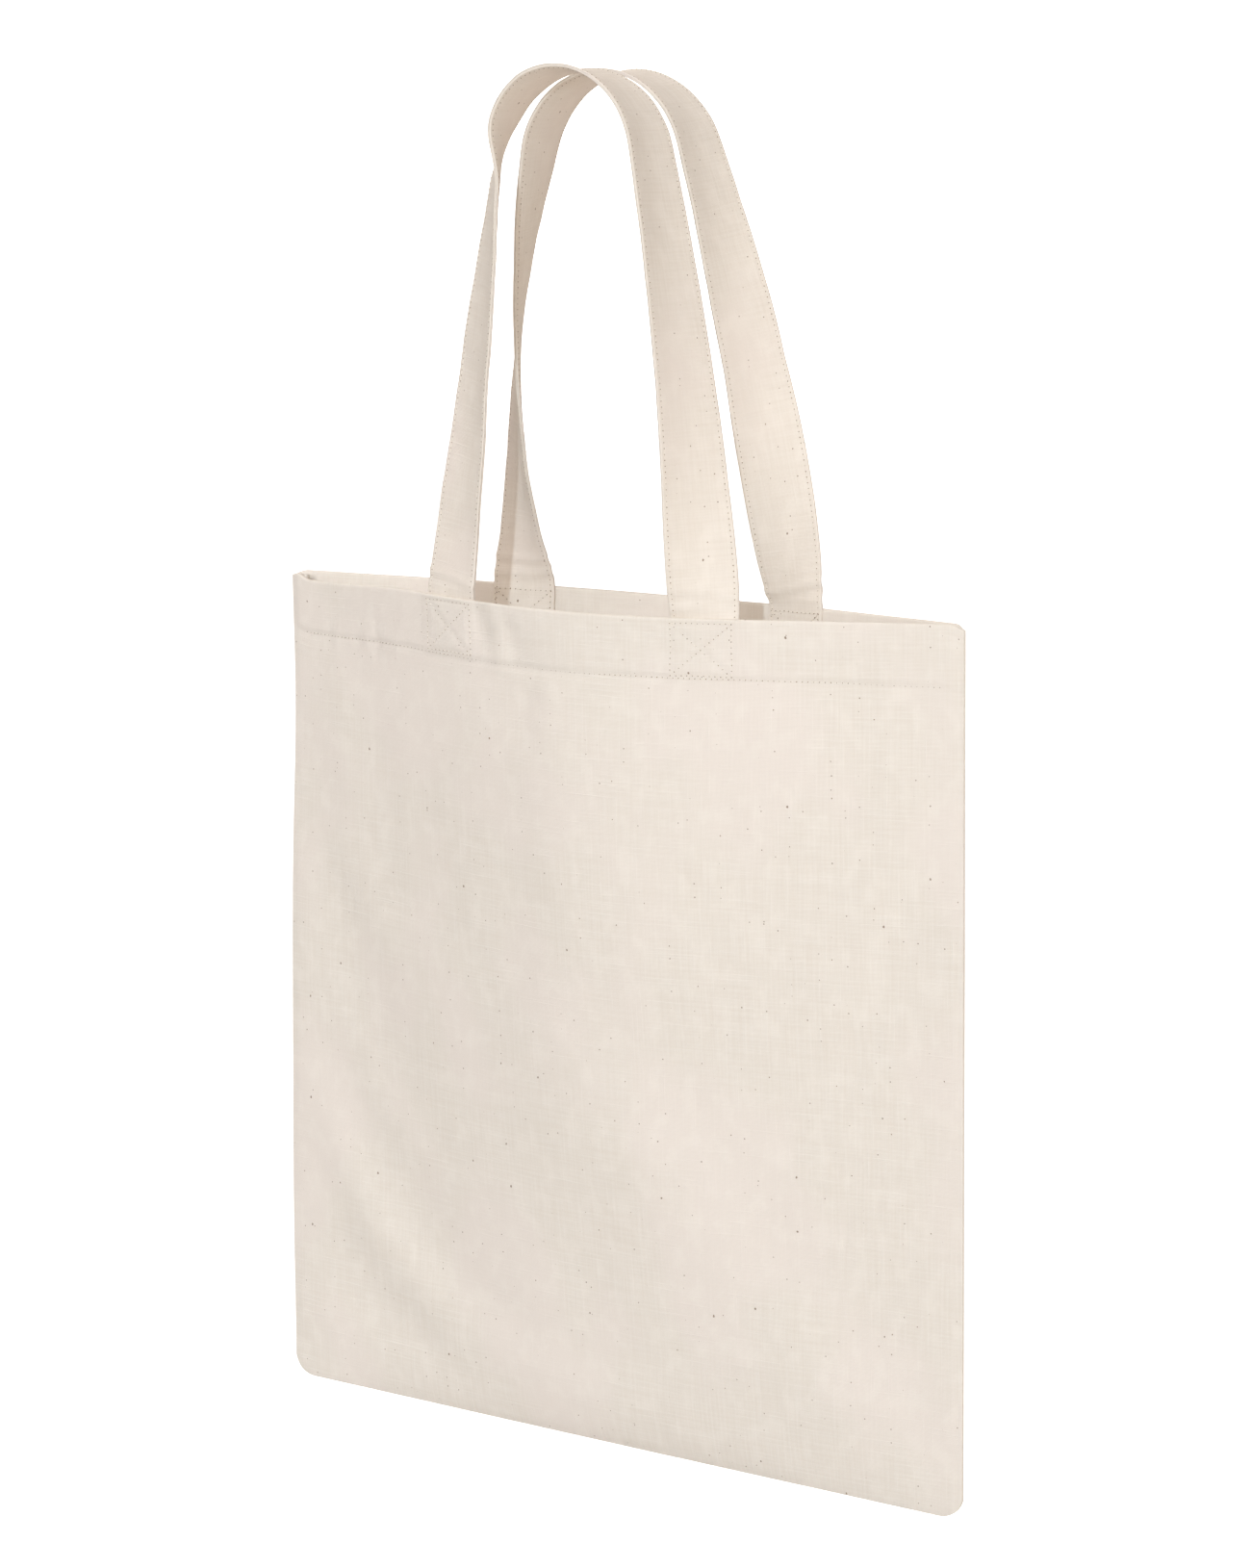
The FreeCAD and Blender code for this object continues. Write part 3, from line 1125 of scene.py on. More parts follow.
@dataclass
class Panel:
    """One cut sheet of canvas: the outer face, the turned mouth and the hem behind it."""

    form: BagForm
    side: Side
    relief: Relief
    column_step: float = 1.6 * MM
    body_step: float = 4.2 * MM
    band_step: float = 1.4 * MM
    band_depth: float = 40 * MM
    band_crowding: float = 1.15
    inner_step: float = 3.0 * MM
    inner_share: float = 0.25
    inner_from: float = 6 * MM
    inner_least: float = 0.65
    hem_from: int = 4
    corner_columns: int = 14
    mouth_rows: int = 9
    fold_rows: int = 6
    sheet_cloth: float = 0.62 * MM
    hem_margin: float = 0.4 * MM
    tuck: float = 3.0 * MM
    edge_steps: int = 5
    edge_least: float = 0.04 * MM
    edge_lap: float = 1.2 * MM

    def columns(self) -> Array:
        """Width shares, closer together round the lower corners.

        Returns:
            The shares, from -1 to 1.
        """
        half = self.form.body_width / 2
        reach = 1 - self.form.cloth / 2 / half
        start = 1 - self.form.corner_radius / half
        corner = start + (reach - start) * np.sin(
            np.linspace(0, math.pi / 2, self.corner_columns))
        count = int(2 * start * half / self.column_step)
        return np.concatenate([-corner[:0:-1], np.linspace(-start, start, count), corner[1:]])

    def rows(self, s: Array) -> tuple[list[Array], list[Array], list[Array], list[bool]]:
        """The sheet's rows, from the bottom up, over the mouth and down behind the hem.

        Args:
            s: the width shares of the columns.

        Returns:
            Each row's height shares, offsets and flat lengths, and whether it is inside.
        """
        form = self.form
        tall = form.panel_height(self.side, s)
        low = (form.corner_rise(s) + form.cloth / 2) / tall
        slack = form.bow(self.side, np.ones_like(s)) * form.plan(self.side, s)
        inner = np.maximum(form.hem_middle, form.cloth * self.inner_least - slack)
        turn = (form.skin_middle - inner) / 2
        middle = (form.skin_middle + inner) / 2
        ts, offsets, lengths, inside = [], [], [], []

        def add(down: Array, offset: Array, length: Array, within: bool) -> None:
            """Adds one row.

            Args:
                down: down from the mouth edge.
                offset: outwards from the seam plane's mid-layer.
                length: along the flat cloth from the mouth edge.
                within: whether it is inside the bag.
            """
            ts.append(1 - down / tall)
            offsets.append(offset + 0 * s)
            lengths.append(length + 0 * s)
            inside.append(within)

        bottom = (1 - low) * tall
        body_rows = int((form.body_height - self.band_depth) / self.body_step)
        for share in np.linspace(0, 1, body_rows) ** self.band_crowding:
            down = bottom + (self.band_depth - bottom) * share
            add(down, form.skin_middle, -down, False)
        for down in np.linspace(self.band_depth, 0, int(self.band_depth / self.band_step))[1:-1]:
            add(np.maximum(down, turn), form.skin_middle, -np.maximum(down, turn), False)
        for angle in np.linspace(0, math.pi, self.mouth_rows):
            rise = turn * (1 - math.sin(angle))
            add(rise, middle + turn * math.cos(angle), turn * angle - turn, angle > math.pi / 2)
        depth = form.hem_depth - form.cloth / 2
        inner_rows = int(depth / self.inner_step)
        for share in np.linspace(0, 1, inner_rows)[1:]:
            down = turn + (depth - turn) * share
            add(down, inner, math.pi * turn + down - turn, True)
        fold = (form.hem_back - form.hem_middle) / 2
        for angle in np.linspace(0, math.pi, self.fold_rows)[1:]:
            offset = inner + fold * (1 - math.cos(angle))
            add(depth + fold * math.sin(angle), offset, depth + fold * angle, True)
        add(depth - self.tuck, inner + 2 * fold, depth + self.tuck, True)
        return ts, offsets, lengths, inside

    def build(self, finish: bpy.types.Material) -> bpy.types.Object:
        """Builds the sheet with its seams turned in at the sides and the bottom.

        Args:
            finish: its finish.

        Returns:
            The sheet, with its thickness.
        """
        form = self.form
        s = self.columns()
        ts, offsets, lengths, inside = self.rows(s)
        t, offset, length = np.stack(ts), np.stack(offsets), np.stack(lengths)
        wide = np.broadcast_to(s, t.shape)
        x = wide * form.half_width(t)
        down = (1 - t) * form.panel_height(self.side, wide)
        lift = self.relief.lift(x, np.maximum(down, 0.0))
        within = np.array(inside)[:, None]
        depth_share = smooth_step(down / self.inner_from)
        lift = np.where(within, self.inner_share * lift * depth_share, lift)
        points = form.place(self.side, wide, t, offset + lift)
        flat = np.stack([wide * form.body_width / 2, length], axis=-1)
        hem_reach = 1 - (form.seam_allowance + self.hem_margin) / (form.mouth_width / 2)
        rows, columns = t.shape
        first_inner = inside.index(True) + self.hem_from
        keep = np.ones((rows - 1, columns - 1), bool)
        outside = (np.abs(s[:-1]) > hem_reach) | (np.abs(s[1:]) > hem_reach)
        keep[first_inner:, outside] = False
        faces = grid_faces(rows, columns, self.side is Side.BACK, keep)
        apex = inside.index(True) - 1
        points, flat, faces = self.turn_in(points, flat, faces, columns, apex)
        piece = new_piece(f"{self.side.label}_panel_cloth", points, faces, flat, finish)
        bpy.context.view_layer.update()
        drop_loose(piece)
        thicken(piece, self.sheet_cloth)
        bake_modifiers(piece)
        face_outwards(piece)
        return piece

    def turn_in(self, points: Array, flat: Array, faces: list[tuple[int, ...]], columns: int,
                apex: int) -> tuple[Array, Array, list[tuple[int, ...]]]:
        """Adds the cloth that turns in round the outline, towards the seam allowance.

        Args:
            points: the sheet's points.
            flat: their flat measure.
            faces: its faces.
            columns: the number of points in a row.
            apex: the last row before the cloth turns over at the mouth.

        Returns:
            The points, the flat measure and the faces with the turned cloth added.
        """
        left = [i * columns for i in range(apex, -1, -1)]
        bottom = list(range(1, columns - 1))
        right = [i * columns + columns - 1 for i in range(0, apex + 1)]
        outline = left + bottom + right
        all_points = points.reshape(-1, 3)
        all_flat = flat.reshape(-1, 2)
        edge = all_points[outline]
        run = np.gradient(edge, axis=0)
        outward = np.stack([run[:, 2], 0 * run[:, 0], -run[:, 0]], axis=-1)
        outward /= np.linalg.norm(outward, axis=1, keepdims=True)
        half_cloth = 0.5 * self.form.cloth
        reach = np.maximum((np.abs(edge[:, 1]) - half_cloth) / 2, self.edge_least)
        radius = np.minimum(reach, half_cloth)[:, None]
        rings = []
        for angle in (math.pi * k / self.edge_steps for k in range(1, self.edge_steps + 1)):
            ring = edge + outward * radius * math.sin(angle)
            ring[:, 1] -= self.side.value * reach * (1 - math.cos(angle))
            rings.append((ring, angle))
        lap = edge - outward * self.edge_lap
        lap[:, 1] -= self.side.value * 2 * reach
        rings.append((lap, math.pi + 2))
        new_points, new_flat = [all_points], [all_flat]
        previous = np.array(outline)
        count = len(all_points)
        for ring, turned in rings:
            new_points.append(ring)
            new_flat.append(all_flat[outline] + outward[:, [0, 2]] * turned * radius)
            current = np.arange(count, count + len(outline))
            for k in range(len(outline) - 1):
                quad = (previous[k], current[k], current[k + 1], previous[k + 1])
                quad = quad if self.side is Side.FRONT else quad[::-1]
                faces.append(tuple(int(v) for v in quad))
            previous, count = current, count + len(outline)
        return np.concatenate(new_points), np.concatenate(new_flat), faces


def drop_loose(piece: bpy.types.Object) -> None:
    """Removes points that no face uses.

    Args:
        piece: the piece.
    """
    work = bmesh.new()
    work.from_mesh(piece.data)
    loose = [v for v in work.verts if not v.link_faces]
    bmesh.ops.delete(work, geom=loose, context="VERTS")
    work.to_mesh(piece.data)
    work.free()


def face_outwards(piece: bpy.types.Object) -> None:
    """Turns every face of a closed piece to point out of it.

    Args:
        piece: the piece.
    """
    work = bmesh.new()
    work.from_mesh(piece.data)
    bmesh.ops.recalc_face_normals(work, faces=work.faces[:])
    work.to_mesh(piece.data)
    work.free()


# --------------------------------------------------------------------------- the handles


@dataclass(frozen=True)
class Leg:
    """How one leg of a handle hangs: its outward bow and its twist on the way up."""

    bow: float
    twist: tuple[float, ...]


@dataclass(frozen=True)
class Crease:
    """A crease across a strap, a little above where it leaves the hem."""

    rise: float
    slant: float
    depth: float
    width: float = 1.6 * MM


# The height shares at which a leg's twist is given, in degrees, from its foot to the crown.
TWIST_STATIONS = (0.0, 0.1, 0.25, 0.45, 0.65, 0.8, 0.9, 1.0)
LEGS = {
    (Side.FRONT, Hand.LEFT): Leg(0.0, (14, 17, 25, 33, 42, 52, 80, 90)),
    (Side.FRONT, Hand.RIGHT): Leg(5.0 * MM, (14, 38, 55, 69, 77, 84, 87, 90)),
    (Side.BACK, Hand.LEFT): Leg(12.0 * MM, (-12, 20, 41, 56, 70, 83, 88, 90)),
    (Side.BACK, Hand.RIGHT): Leg(6.0 * MM, (-12, 8, 28, 56, 68, 80, 86, 90)),
}
# How far each crown leans over sideways, as a slope, and how far below the frame's it hangs.
CROWN_ROLL = {Side.FRONT: 0.07, Side.BACK: 0.0}
CROWN_SETTLE = {Side.FRONT: 1.2 * MM, Side.BACK: 2.4 * MM}
CREASES = {
    (Side.FRONT, Hand.LEFT): (Crease(8 * MM, -0.10, 0.65 * MM),
                              Crease(3 * MM, -0.05, 0.45 * MM)),
    (Side.FRONT, Hand.RIGHT): (Crease(11 * MM, 0.14, 0.75 * MM),
                               Crease(5 * MM, -0.10, 0.35 * MM)),
    (Side.BACK, Hand.LEFT): (Crease(13 * MM, -0.04, 0.6 * MM), Crease(6 * MM, 0.03, 0.6 * MM)),
    (Side.BACK, Hand.RIGHT): (Crease(9 * MM, -0.12, 0.8 * MM), Crease(4 * MM, 0.05, 0.4 * MM)),
}


@dataclass
class Handle:
    """One folded strip: a tail inside the hem, the loop, and the other tail."""

    form: BagForm
    side: Side
    seed: int
    width: float = 32 * MM
    thickness: float = 1.9 * MM
    tail_middle: float = -2.0 * MM
    tail_depth: float = 27.5 * MM
    crown_radius: float = 40 * MM
    crown_spacing: float = 38 * MM
    crown_rise: float = 1.0 * MM
    roll_start: float = 0.80
    fold_out: float = 1.4 * MM
    tail_top: float = 0.4 * MM
    tail_reach: float = 5 * MM
    cup: float = 1.5 * MM
    free_from: float = 40 * MM
    edge_round: float = 0.75 * MM
    edge_angles: tuple[float, ...] = (62, 35, 12)
    slit: float = 0.45 * MM
    face_margin: float = 1.6 * MM
    face_points: int = 13
    stitch_inset: float = 2.0 * MM
    stitch_sink: float = 0.16 * MM
    stitch_reach: float = 0.7 * MM
    ripple: float = 0.35 * MM
    ripple_pitch: float = 26 * MM
    fine_ripple: float = 0.35
    fine_slant: float = 0.4
    crease_wander: float = 0.9 * MM
    crease_pitch: float = 9 * MM
    crease_swell: float = 0.6
    swell_below: float = 2.2
    swell_width: float = 1.6
    width_vary: float = 0.012
    width_pitch: float = 34 * MM
    wrap: float = 6 * MM
    bend_below: float = 1.0 * MM
    bend_above: float = 14 * MM
    station_step: float = 1.9 * MM
    leg_stations: int = 130
    tail_stations: int = 16
    path: dict[str, Array] = field(default_factory=dict)

    def tail(self, hand: Hand) -> Tail:
        """The tail at one end."""
        return next(t for t in TAILS if t.side is self.side and t.hand is hand)

    def fold_height(self) -> float:
        """The height of the line that the loop folds about.

        Returns:
            Its place along Z.
        """
        tail = self.tail(Hand.RIGHT)
        outer = self.form.at(self.side, tail.middle + self.width / 2, 0.0, 0.0)
        return float(outer[2])

    def fold_offset(self) -> float:
        """How far out the line that the loop folds about is.

        Returns:
            Its place along Y.
        """
        tail = self.tail(Hand.RIGHT)
        inner = self.form.at(self.side, tail.middle - self.width / 2, 0.0, self.fold_out)
        return float(inner[1])

    def leg(self, hand: Hand) -> tuple[Array, Array]:
        """One leg, up from its foot to the middle of the crown.

        Args:
            hand: which leg.

        Returns:
            Its centre line and the angle of its width from X.
        """
        tail = self.tail(hand)
        foot = self.form.at(self.side, tail.middle, 0.0, self.tail_middle)
        foot = np.array([foot[0], foot[1], self.fold_height()])
        top = self.crown_rise - CROWN_SETTLE[self.side]
        rise, reach, radius = top - foot[2], abs(foot[0]), self.crown_radius
        arc_height = rise - radius
        span = math.hypot(reach, arc_height)
        lean = math.acos(radius / span) - math.atan2(arc_height, reach)
        start = (radius * math.cos(lean), arc_height + radius * math.sin(lean))
        straight = math.hypot(reach - start[0], start[1])
        turn = radius * (math.pi / 2 - lean)
        along = np.linspace(0, straight + turn, self.leg_stations)
        share = np.clip(along / straight, 0, 1)
        angle = lean + np.clip((along - straight) / radius, 0, None)
        across = np.where(share < 1, reach + (start[0] - reach) * share, radius * np.cos(angle))
        height = np.where(share < 1, start[1] * share, arc_height + radius * np.sin(angle))
        shape = LEGS[(self.side, hand)]
        u = height / rise
        x = hand.value * (across + shape.bow * np.sin(np.pi * u))
        y = foot[1] + (self.side.value * self.crown_spacing / 2 - foot[1]) * u
        twist = np.radians(np.interp(u, TWIST_STATIONS, shape.twist))
        return np.stack([x, y, foot[2] + height], axis=-1), twist

    def lay_out(self) -> None:
        """Sets the path: the centre line, its width direction and its normal, evenly spaced."""
        lines, widths = [], []
        for hand in Hand:
            tail = self.tail(hand)
            down = np.linspace(self.tail_depth, self.tail_top, self.tail_stations)
            left, sewn, right = (
                self.form.at(self.side, tail.middle + aside, down, self.tail_middle)
                for aside in (-self.tail_reach, 0.0, self.tail_reach))
            flat = right - left
            flat[:, 2] = 0.0
            leg, twist = self.leg(hand)
            rise = (leg[:, 2] - leg[0, 2]) / (leg[-1, 2] - leg[0, 2])
            roll = smooth_step((rise - self.roll_start) / (1 - self.roll_start))
            roll = roll * CROWN_ROLL[self.side]
            turned = np.stack([np.cos(twist), hand.value * np.sin(twist), -hand.value * roll],
                              axis=-1)
            line = np.concatenate([sewn, leg[1:]])
            width = np.concatenate([flat, turned[1:]])
            lines.append(line if hand is Hand.LEFT else line[::-1][1:])
            widths.append(width if hand is Hand.LEFT else -width[::-1][1:])
        line, width = np.concatenate(lines), np.concatenate(widths)
        width /= np.linalg.norm(width, axis=1, keepdims=True)
        along = np.concatenate([[0], np.cumsum(np.linalg.norm(np.diff(line, axis=0), axis=1))])
        even = np.linspace(0, along[-1], int(along[-1] / self.station_step))
        line = np.stack([np.interp(even, along, line[:, k]) for k in range(3)], axis=1)
        width = np.stack([np.interp(even, along, width[:, k]) for k in range(3)], axis=1)
        line, width = soften(line, 3), soften(width, 5)
        tangent = np.gradient(line, axis=0)
        tangent /= np.linalg.norm(tangent, axis=1, keepdims=True)
        width -= tangent * (tangent * width).sum(1, keepdims=True)
        width /= np.linalg.norm(width, axis=1, keepdims=True)
        normal = np.cross(tangent, width)
        self.path = {"line": line, "width": width, "normal": normal, "along": even}

    def rise_of(self) -> Array:
        """How far each station is above the mouth, below it where negative."""
        return self.path["line"][:, 2] - self.fold_height()

    def section(self) -> tuple[Array, Array, Array]:
        """The strip's section, round both its faces and its folded and open edges.

        Returns:
            For each place, how far across it is, which face it is on (1 outer, -1
            inner), and its share of the thickness.
        """
        half = self.width / 2
        stitch = half - self.stitch_inset
        inner = np.linspace(self.face_margin - stitch, stitch - self.face_margin, self.face_points)
        near = stitch + self.stitch_reach * np.array([-1, 0, 1])
        face = np.concatenate([-near[::-1], inner, near])
        angles = np.radians(self.edge_angles)
        round_off = half - self.edge_round + self.edge_round * np.cos(angles)
        across = np.concatenate([face, round_off, [half - self.slit], round_off[::-1],
                                 face[::-1], -round_off, [-half], -round_off[::-1]])
        up = np.ones(len(face))
        sides = np.sin(angles)
        through = np.concatenate([up, sides, [0.0], -sides[::-1], -up, -sides, [0.0], sides[::-1]])
        return across, np.sign(through), np.abs(through)

    def surface(self, across: Array, face: Array, through: Array) -> Array:
        """Points of the strip at every station, for the places of one section.

        Args:
            across: how far across each place is.
            face: which face it is on.
            through: its share of the thickness.

        Returns:
            The points, by station and place.
        """
        path = self.path
        rise = self.rise_of()
        free = smooth_step(rise / self.free_from)[:, None]
        q = across[None, :]
        along = path["along"][:, None]
        lift = self.cup * free * (1 - np.square(2 * q / self.width))
        lift = lift + free * self.ripple * cloth_noise(q, along, self.ripple_pitch, self.seed)
        lift = lift + free * self.fine_ripple * self.ripple * cloth_noise(
            q + self.fine_slant * along, along, self.fine_ripple * self.ripple_pitch,
            self.seed + 1)
        wander = self.crease_wander * cloth_noise(q, 0 * q, self.crease_pitch, self.seed + 7)
        left = np.arange(len(along)) < len(along) // 2
        for hand, here in ((Hand.LEFT, left), (Hand.RIGHT, ~left)):
            for crease in CREASES[(self.side, hand)]:
                away = rise[:, None] - crease.rise - crease.slant * q - wander
                swell = bell((away + self.swell_below * crease.width)
                             / (self.swell_width * crease.width))
                fold = bell(away / crease.width) - self.crease_swell * swell
                lift = lift - here[:, None] * crease.depth * fold
        stitch = self.width / 2 - self.stitch_inset
        groove = bell((np.abs(q) - stitch) / self.stitch_reach)
        body = (self.thickness / 2 - self.stitch_sink * groove) * (through * face)[None, :]
        vary = cloth_noise(0 * along, along, self.width_pitch, self.seed + 3)
        spread = 1 + self.width_vary * vary
        place = path["line"][:, None, :] + path["width"][:, None, :] * (q * spread)[..., None]
        return place + path["normal"][:, None, :] * (lift + body)[..., None]

    def build(self, finish: bpy.types.Material) -> bpy.types.Object:
        """Builds the strip as one closed mesh.

        Args:
            finish: its finish.

        Returns:
            The strip.
        """
        self.lay_out()
        across, face, through = self.section()
        rings = self.surface(across, face, through)
        stations, count = rings.shape[:2]
        faces = []
        for i in range(stations - 1):
            for j in range(count):
                k = (j + 1) % count
                a, b = i * count, (i + 1) * count
                faces.append((a + j, a + k, b + k, b + j))
        faces.append(tuple(range(count))[::-1])
        faces.append(tuple((stations - 1) * count + j for j in range(count)))
        unrolled = np.where(face * through >= 0, across, self.width + self.wrap - across)
        flat = np.stack(np.broadcast_arrays(unrolled[None, :], self.path["along"][:, None]),
                        axis=-1)
        piece = new_piece(f"{self.side.label}_handle_strip", rings, faces, flat, finish)
        face_outwards(piece)
        return piece

    def stitch_rows(self) -> list[Array]:
        """The paths of the stitching along both edges, on both faces.

        Returns:
            One row of points for each path.
        """
        stitch = self.width / 2 - self.stitch_inset
        across = np.array([-stitch, stitch, stitch, -stitch])
        face = np.array([1.0, 1.0, -1.0, -1.0])
        rows = self.surface(across, face, np.ones(4))
        return [rows[:, k] for k in range(4)]

    def blend(self, piece: bpy.types.Object) -> None:
        """Bakes a piece's transform into its mesh; the fold line's place is worked out but not
        used.

        Args:
            piece: the piece.
        """
        y, z = self.fold_offset(), self.fold_height()
        f"{self.side.label}_handle"
        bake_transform(piece)


# --------------------------------------------------------------------------- the sewing


@dataclass(frozen=True)
class Stitching:
    """Rows of lockstitch: short bent stitches with a dark bead of painted shade for the needle hole
    between each two.
    """

    finishes: Finishes
    pitch: float = 2.6 * MM
    length: float = 2.05 * MM
    thread_radius: float = 0.20 * MM
    hole_radius: float = 0.28 * MM
    least: float = 0.82
    most: float = 1.12
    bead_segments: int = 6
    bead_rings: int = 5
    longest: float = 1000.0
    seed: int = 11

    def inputs(self) -> dict[str, float | int]:
        """The tree's named inputs and their values."""
        return {"Stitch Pitch": self.pitch, "Stitch Length": self.length,
                "Thread Radius": self.thread_radius, "Hole Radius": self.hole_radius,
                "Seed": self.seed}

    def tree(self, name: str) -> bpy.types.NodeTree:
        """Builds the Geometry Nodes tree that sews along its input's edges.

        Args:
            name: the tree's name.

        Returns:
            The tree.
        """
        tree = bpy.data.node_groups.new(name, "GeometryNodeTree")
        face = tree.interface
        face.new_socket("Geometry", in_out="INPUT", socket_type="NodeSocketGeometry")
        for label, value in self.inputs().items():
            kind = "NodeSocketInt" if isinstance(value, int) else "NodeSocketFloat"
            face.new_socket(label, in_out="INPUT", socket_type=kind).default_value = value
        face.new_socket("Geometry", in_out="OUTPUT", socket_type="NodeSocketGeometry")
        nodes, links = tree.nodes, tree.links
        inputs, outputs = nodes.new("NodeGroupInput"), nodes.new("NodeGroupOutput")
        curve = nodes.new("GeometryNodeMeshToCurve")
        links.new(inputs.outputs["Geometry"], curve.inputs[0])
        half = self.math(tree, "MULTIPLY", inputs.outputs["Stitch Pitch"], 0.5)
        trimmed = nodes.new("GeometryNodeTrimCurve")
        trimmed.mode = "LENGTH"
        links.new(curve.outputs[0], trimmed.inputs["Curve"])
        start = next(s for s in trimmed.inputs if s.name == "Start" and s.enabled)
        end = next(s for s in trimmed.inputs if s.name == "End" and s.enabled)
        links.new(half, start)
        end.default_value = self.longest
        stitches = self.scatter(tree, trimmed.outputs[0], inputs, "Thread Radius", "Stitch Length",
                                self.finishes.thread, 0)
        # dark beads of painted shade where the needle holes are
        holes = self.scatter(tree, curve.outputs[0], inputs, "Hole Radius", "Hole Radius",
                             self.finishes.hole, 1)
        join = nodes.new("GeometryNodeJoinGeometry")
        links.new(holes, join.inputs[0])
        links.new(stitches, join.inputs[0])
        links.new(join.outputs[0], outputs.inputs[0])
        return tree

    def math(self, tree: bpy.types.NodeTree, operation: str, value: bpy.types.NodeSocket,
             other: float) -> bpy.types.NodeSocket:
        """Adds a Math node.

        Args:
            tree: the tree to add to.
            operation: what it works out.
            value: its first value, a link.
            other: its second value, a constant.

        Returns:
            Its result.
        """
        node = tree.nodes.new("ShaderNodeMath")
        node.operation = operation
        node.inputs[1].default_value = other
        tree.links.new(value, node.inputs[0])
        return node.outputs[0]

    def scatter(self, tree: bpy.types.NodeTree, curve: bpy.types.NodeSocket,
                inputs: bpy.types.Node, radius: str, length: str, finish: bpy.types.Material,
                offset: int) -> bpy.types.NodeSocket:
        """Sets one small bead on the curve at every pitch.

        Args:
            tree: the tree to add to.
            curve: the path's output.
            inputs: the group's input node.
            radius: the name of the input for the bead's radius.
            length: the name of the input for its length.
            finish: its finish.
            offset: added to the seed.

        Returns:
            The beads, as real geometry with their finish.
        """
        nodes, links = tree.nodes, tree.links
        points = nodes.new("GeometryNodeCurveToPoints")
        points.mode = "LENGTH"
        links.new(curve, points.inputs["Curve"])
        links.new(inputs.outputs["Stitch Pitch"], points.inputs["Length"])
        bead = nodes.new("GeometryNodeMeshUVSphere")
        bead.inputs["Segments"].default_value = self.bead_segments
        bead.inputs["Rings"].default_value = self.bead_rings
        bead.inputs["Radius"].default_value = 1.0
        seed = self.math(tree, "ADD", inputs.outputs["Seed"], offset)
        vary = nodes.new("FunctionNodeRandomValue")
        vary.data_type = "FLOAT"
        low, high = (s for s in vary.inputs if s.name in ("Min", "Max") and s.enabled)
        low.default_value, high.default_value = self.least, self.most
        links.new(seed, next(s for s in vary.inputs if s.name == "Seed"))
        share = 0.5 if length == "Stitch Length" else 1.0
        half = self.math(tree, "MULTIPLY", inputs.outputs[length], share)
        size = nodes.new("ShaderNodeCombineXYZ")
        links.new(inputs.outputs[radius], size.inputs[0])
        links.new(inputs.outputs[radius], size.inputs[1])
        links.new(half, size.inputs[2])
        scale = nodes.new("ShaderNodeVectorMath")
        scale.operation = "SCALE"
        links.new(size.outputs[0], scale.inputs[0])
        links.new(next(s for s in vary.outputs if s.enabled), scale.inputs["Scale"])
        placed = nodes.new("GeometryNodeInstanceOnPoints")
        links.new(points.outputs["Points"], placed.inputs["Points"])
        links.new(bead.outputs["Mesh"], placed.inputs["Instance"])
        links.new(points.outputs["Rotation"], placed.inputs["Rotation"])
        links.new(scale.outputs[0], placed.inputs["Scale"])
        real = nodes.new("GeometryNodeRealizeInstances")
        links.new(placed.outputs[0], real.inputs[0])
        dressed = nodes.new("GeometryNodeSetMaterial")
        dressed.inputs["Material"].default_value = finish
        links.new(real.outputs[0], dressed.inputs["Geometry"])
        return dressed.outputs[0]

    def sew(self, name: str, rows: list[Array]) -> bpy.types.Object:
        """Sews along each row of points.

        Args:
            name: the piece's name.
            rows: the rows of points.

        Returns:
            The stitches and the painted shade of their needle holes, as one plain mesh.
        """
        points = np.concatenate(rows)
        edges, count = [], 0
        for row in rows:
            edges += [(count + k, count + k + 1) for k in range(len(row) - 1)]
            count += len(row)
        mesh = bpy.data.meshes.new(name)
        mesh.from_pydata(points.tolist(), edges, [])
        piece = bpy.data.objects.new(name, mesh)
        bpy.context.scene.collection.objects.link(piece)
        tree = self.tree(name + "_rows")
        modifier = piece.modifiers.new("stitches", "NODES")
        modifier.node_group = tree
        values = self.inputs()
        for item in tree.interface.items_tree:
            if item.in_out == "INPUT" and item.name in values:
                modifier[item.identifier] = values[item.name]
        bpy.context.view_layer.update()
        bake_modifiers(piece)
        piece.data.polygons.foreach_set("use_smooth", [True] * len(piece.data.polygons))
        return piece


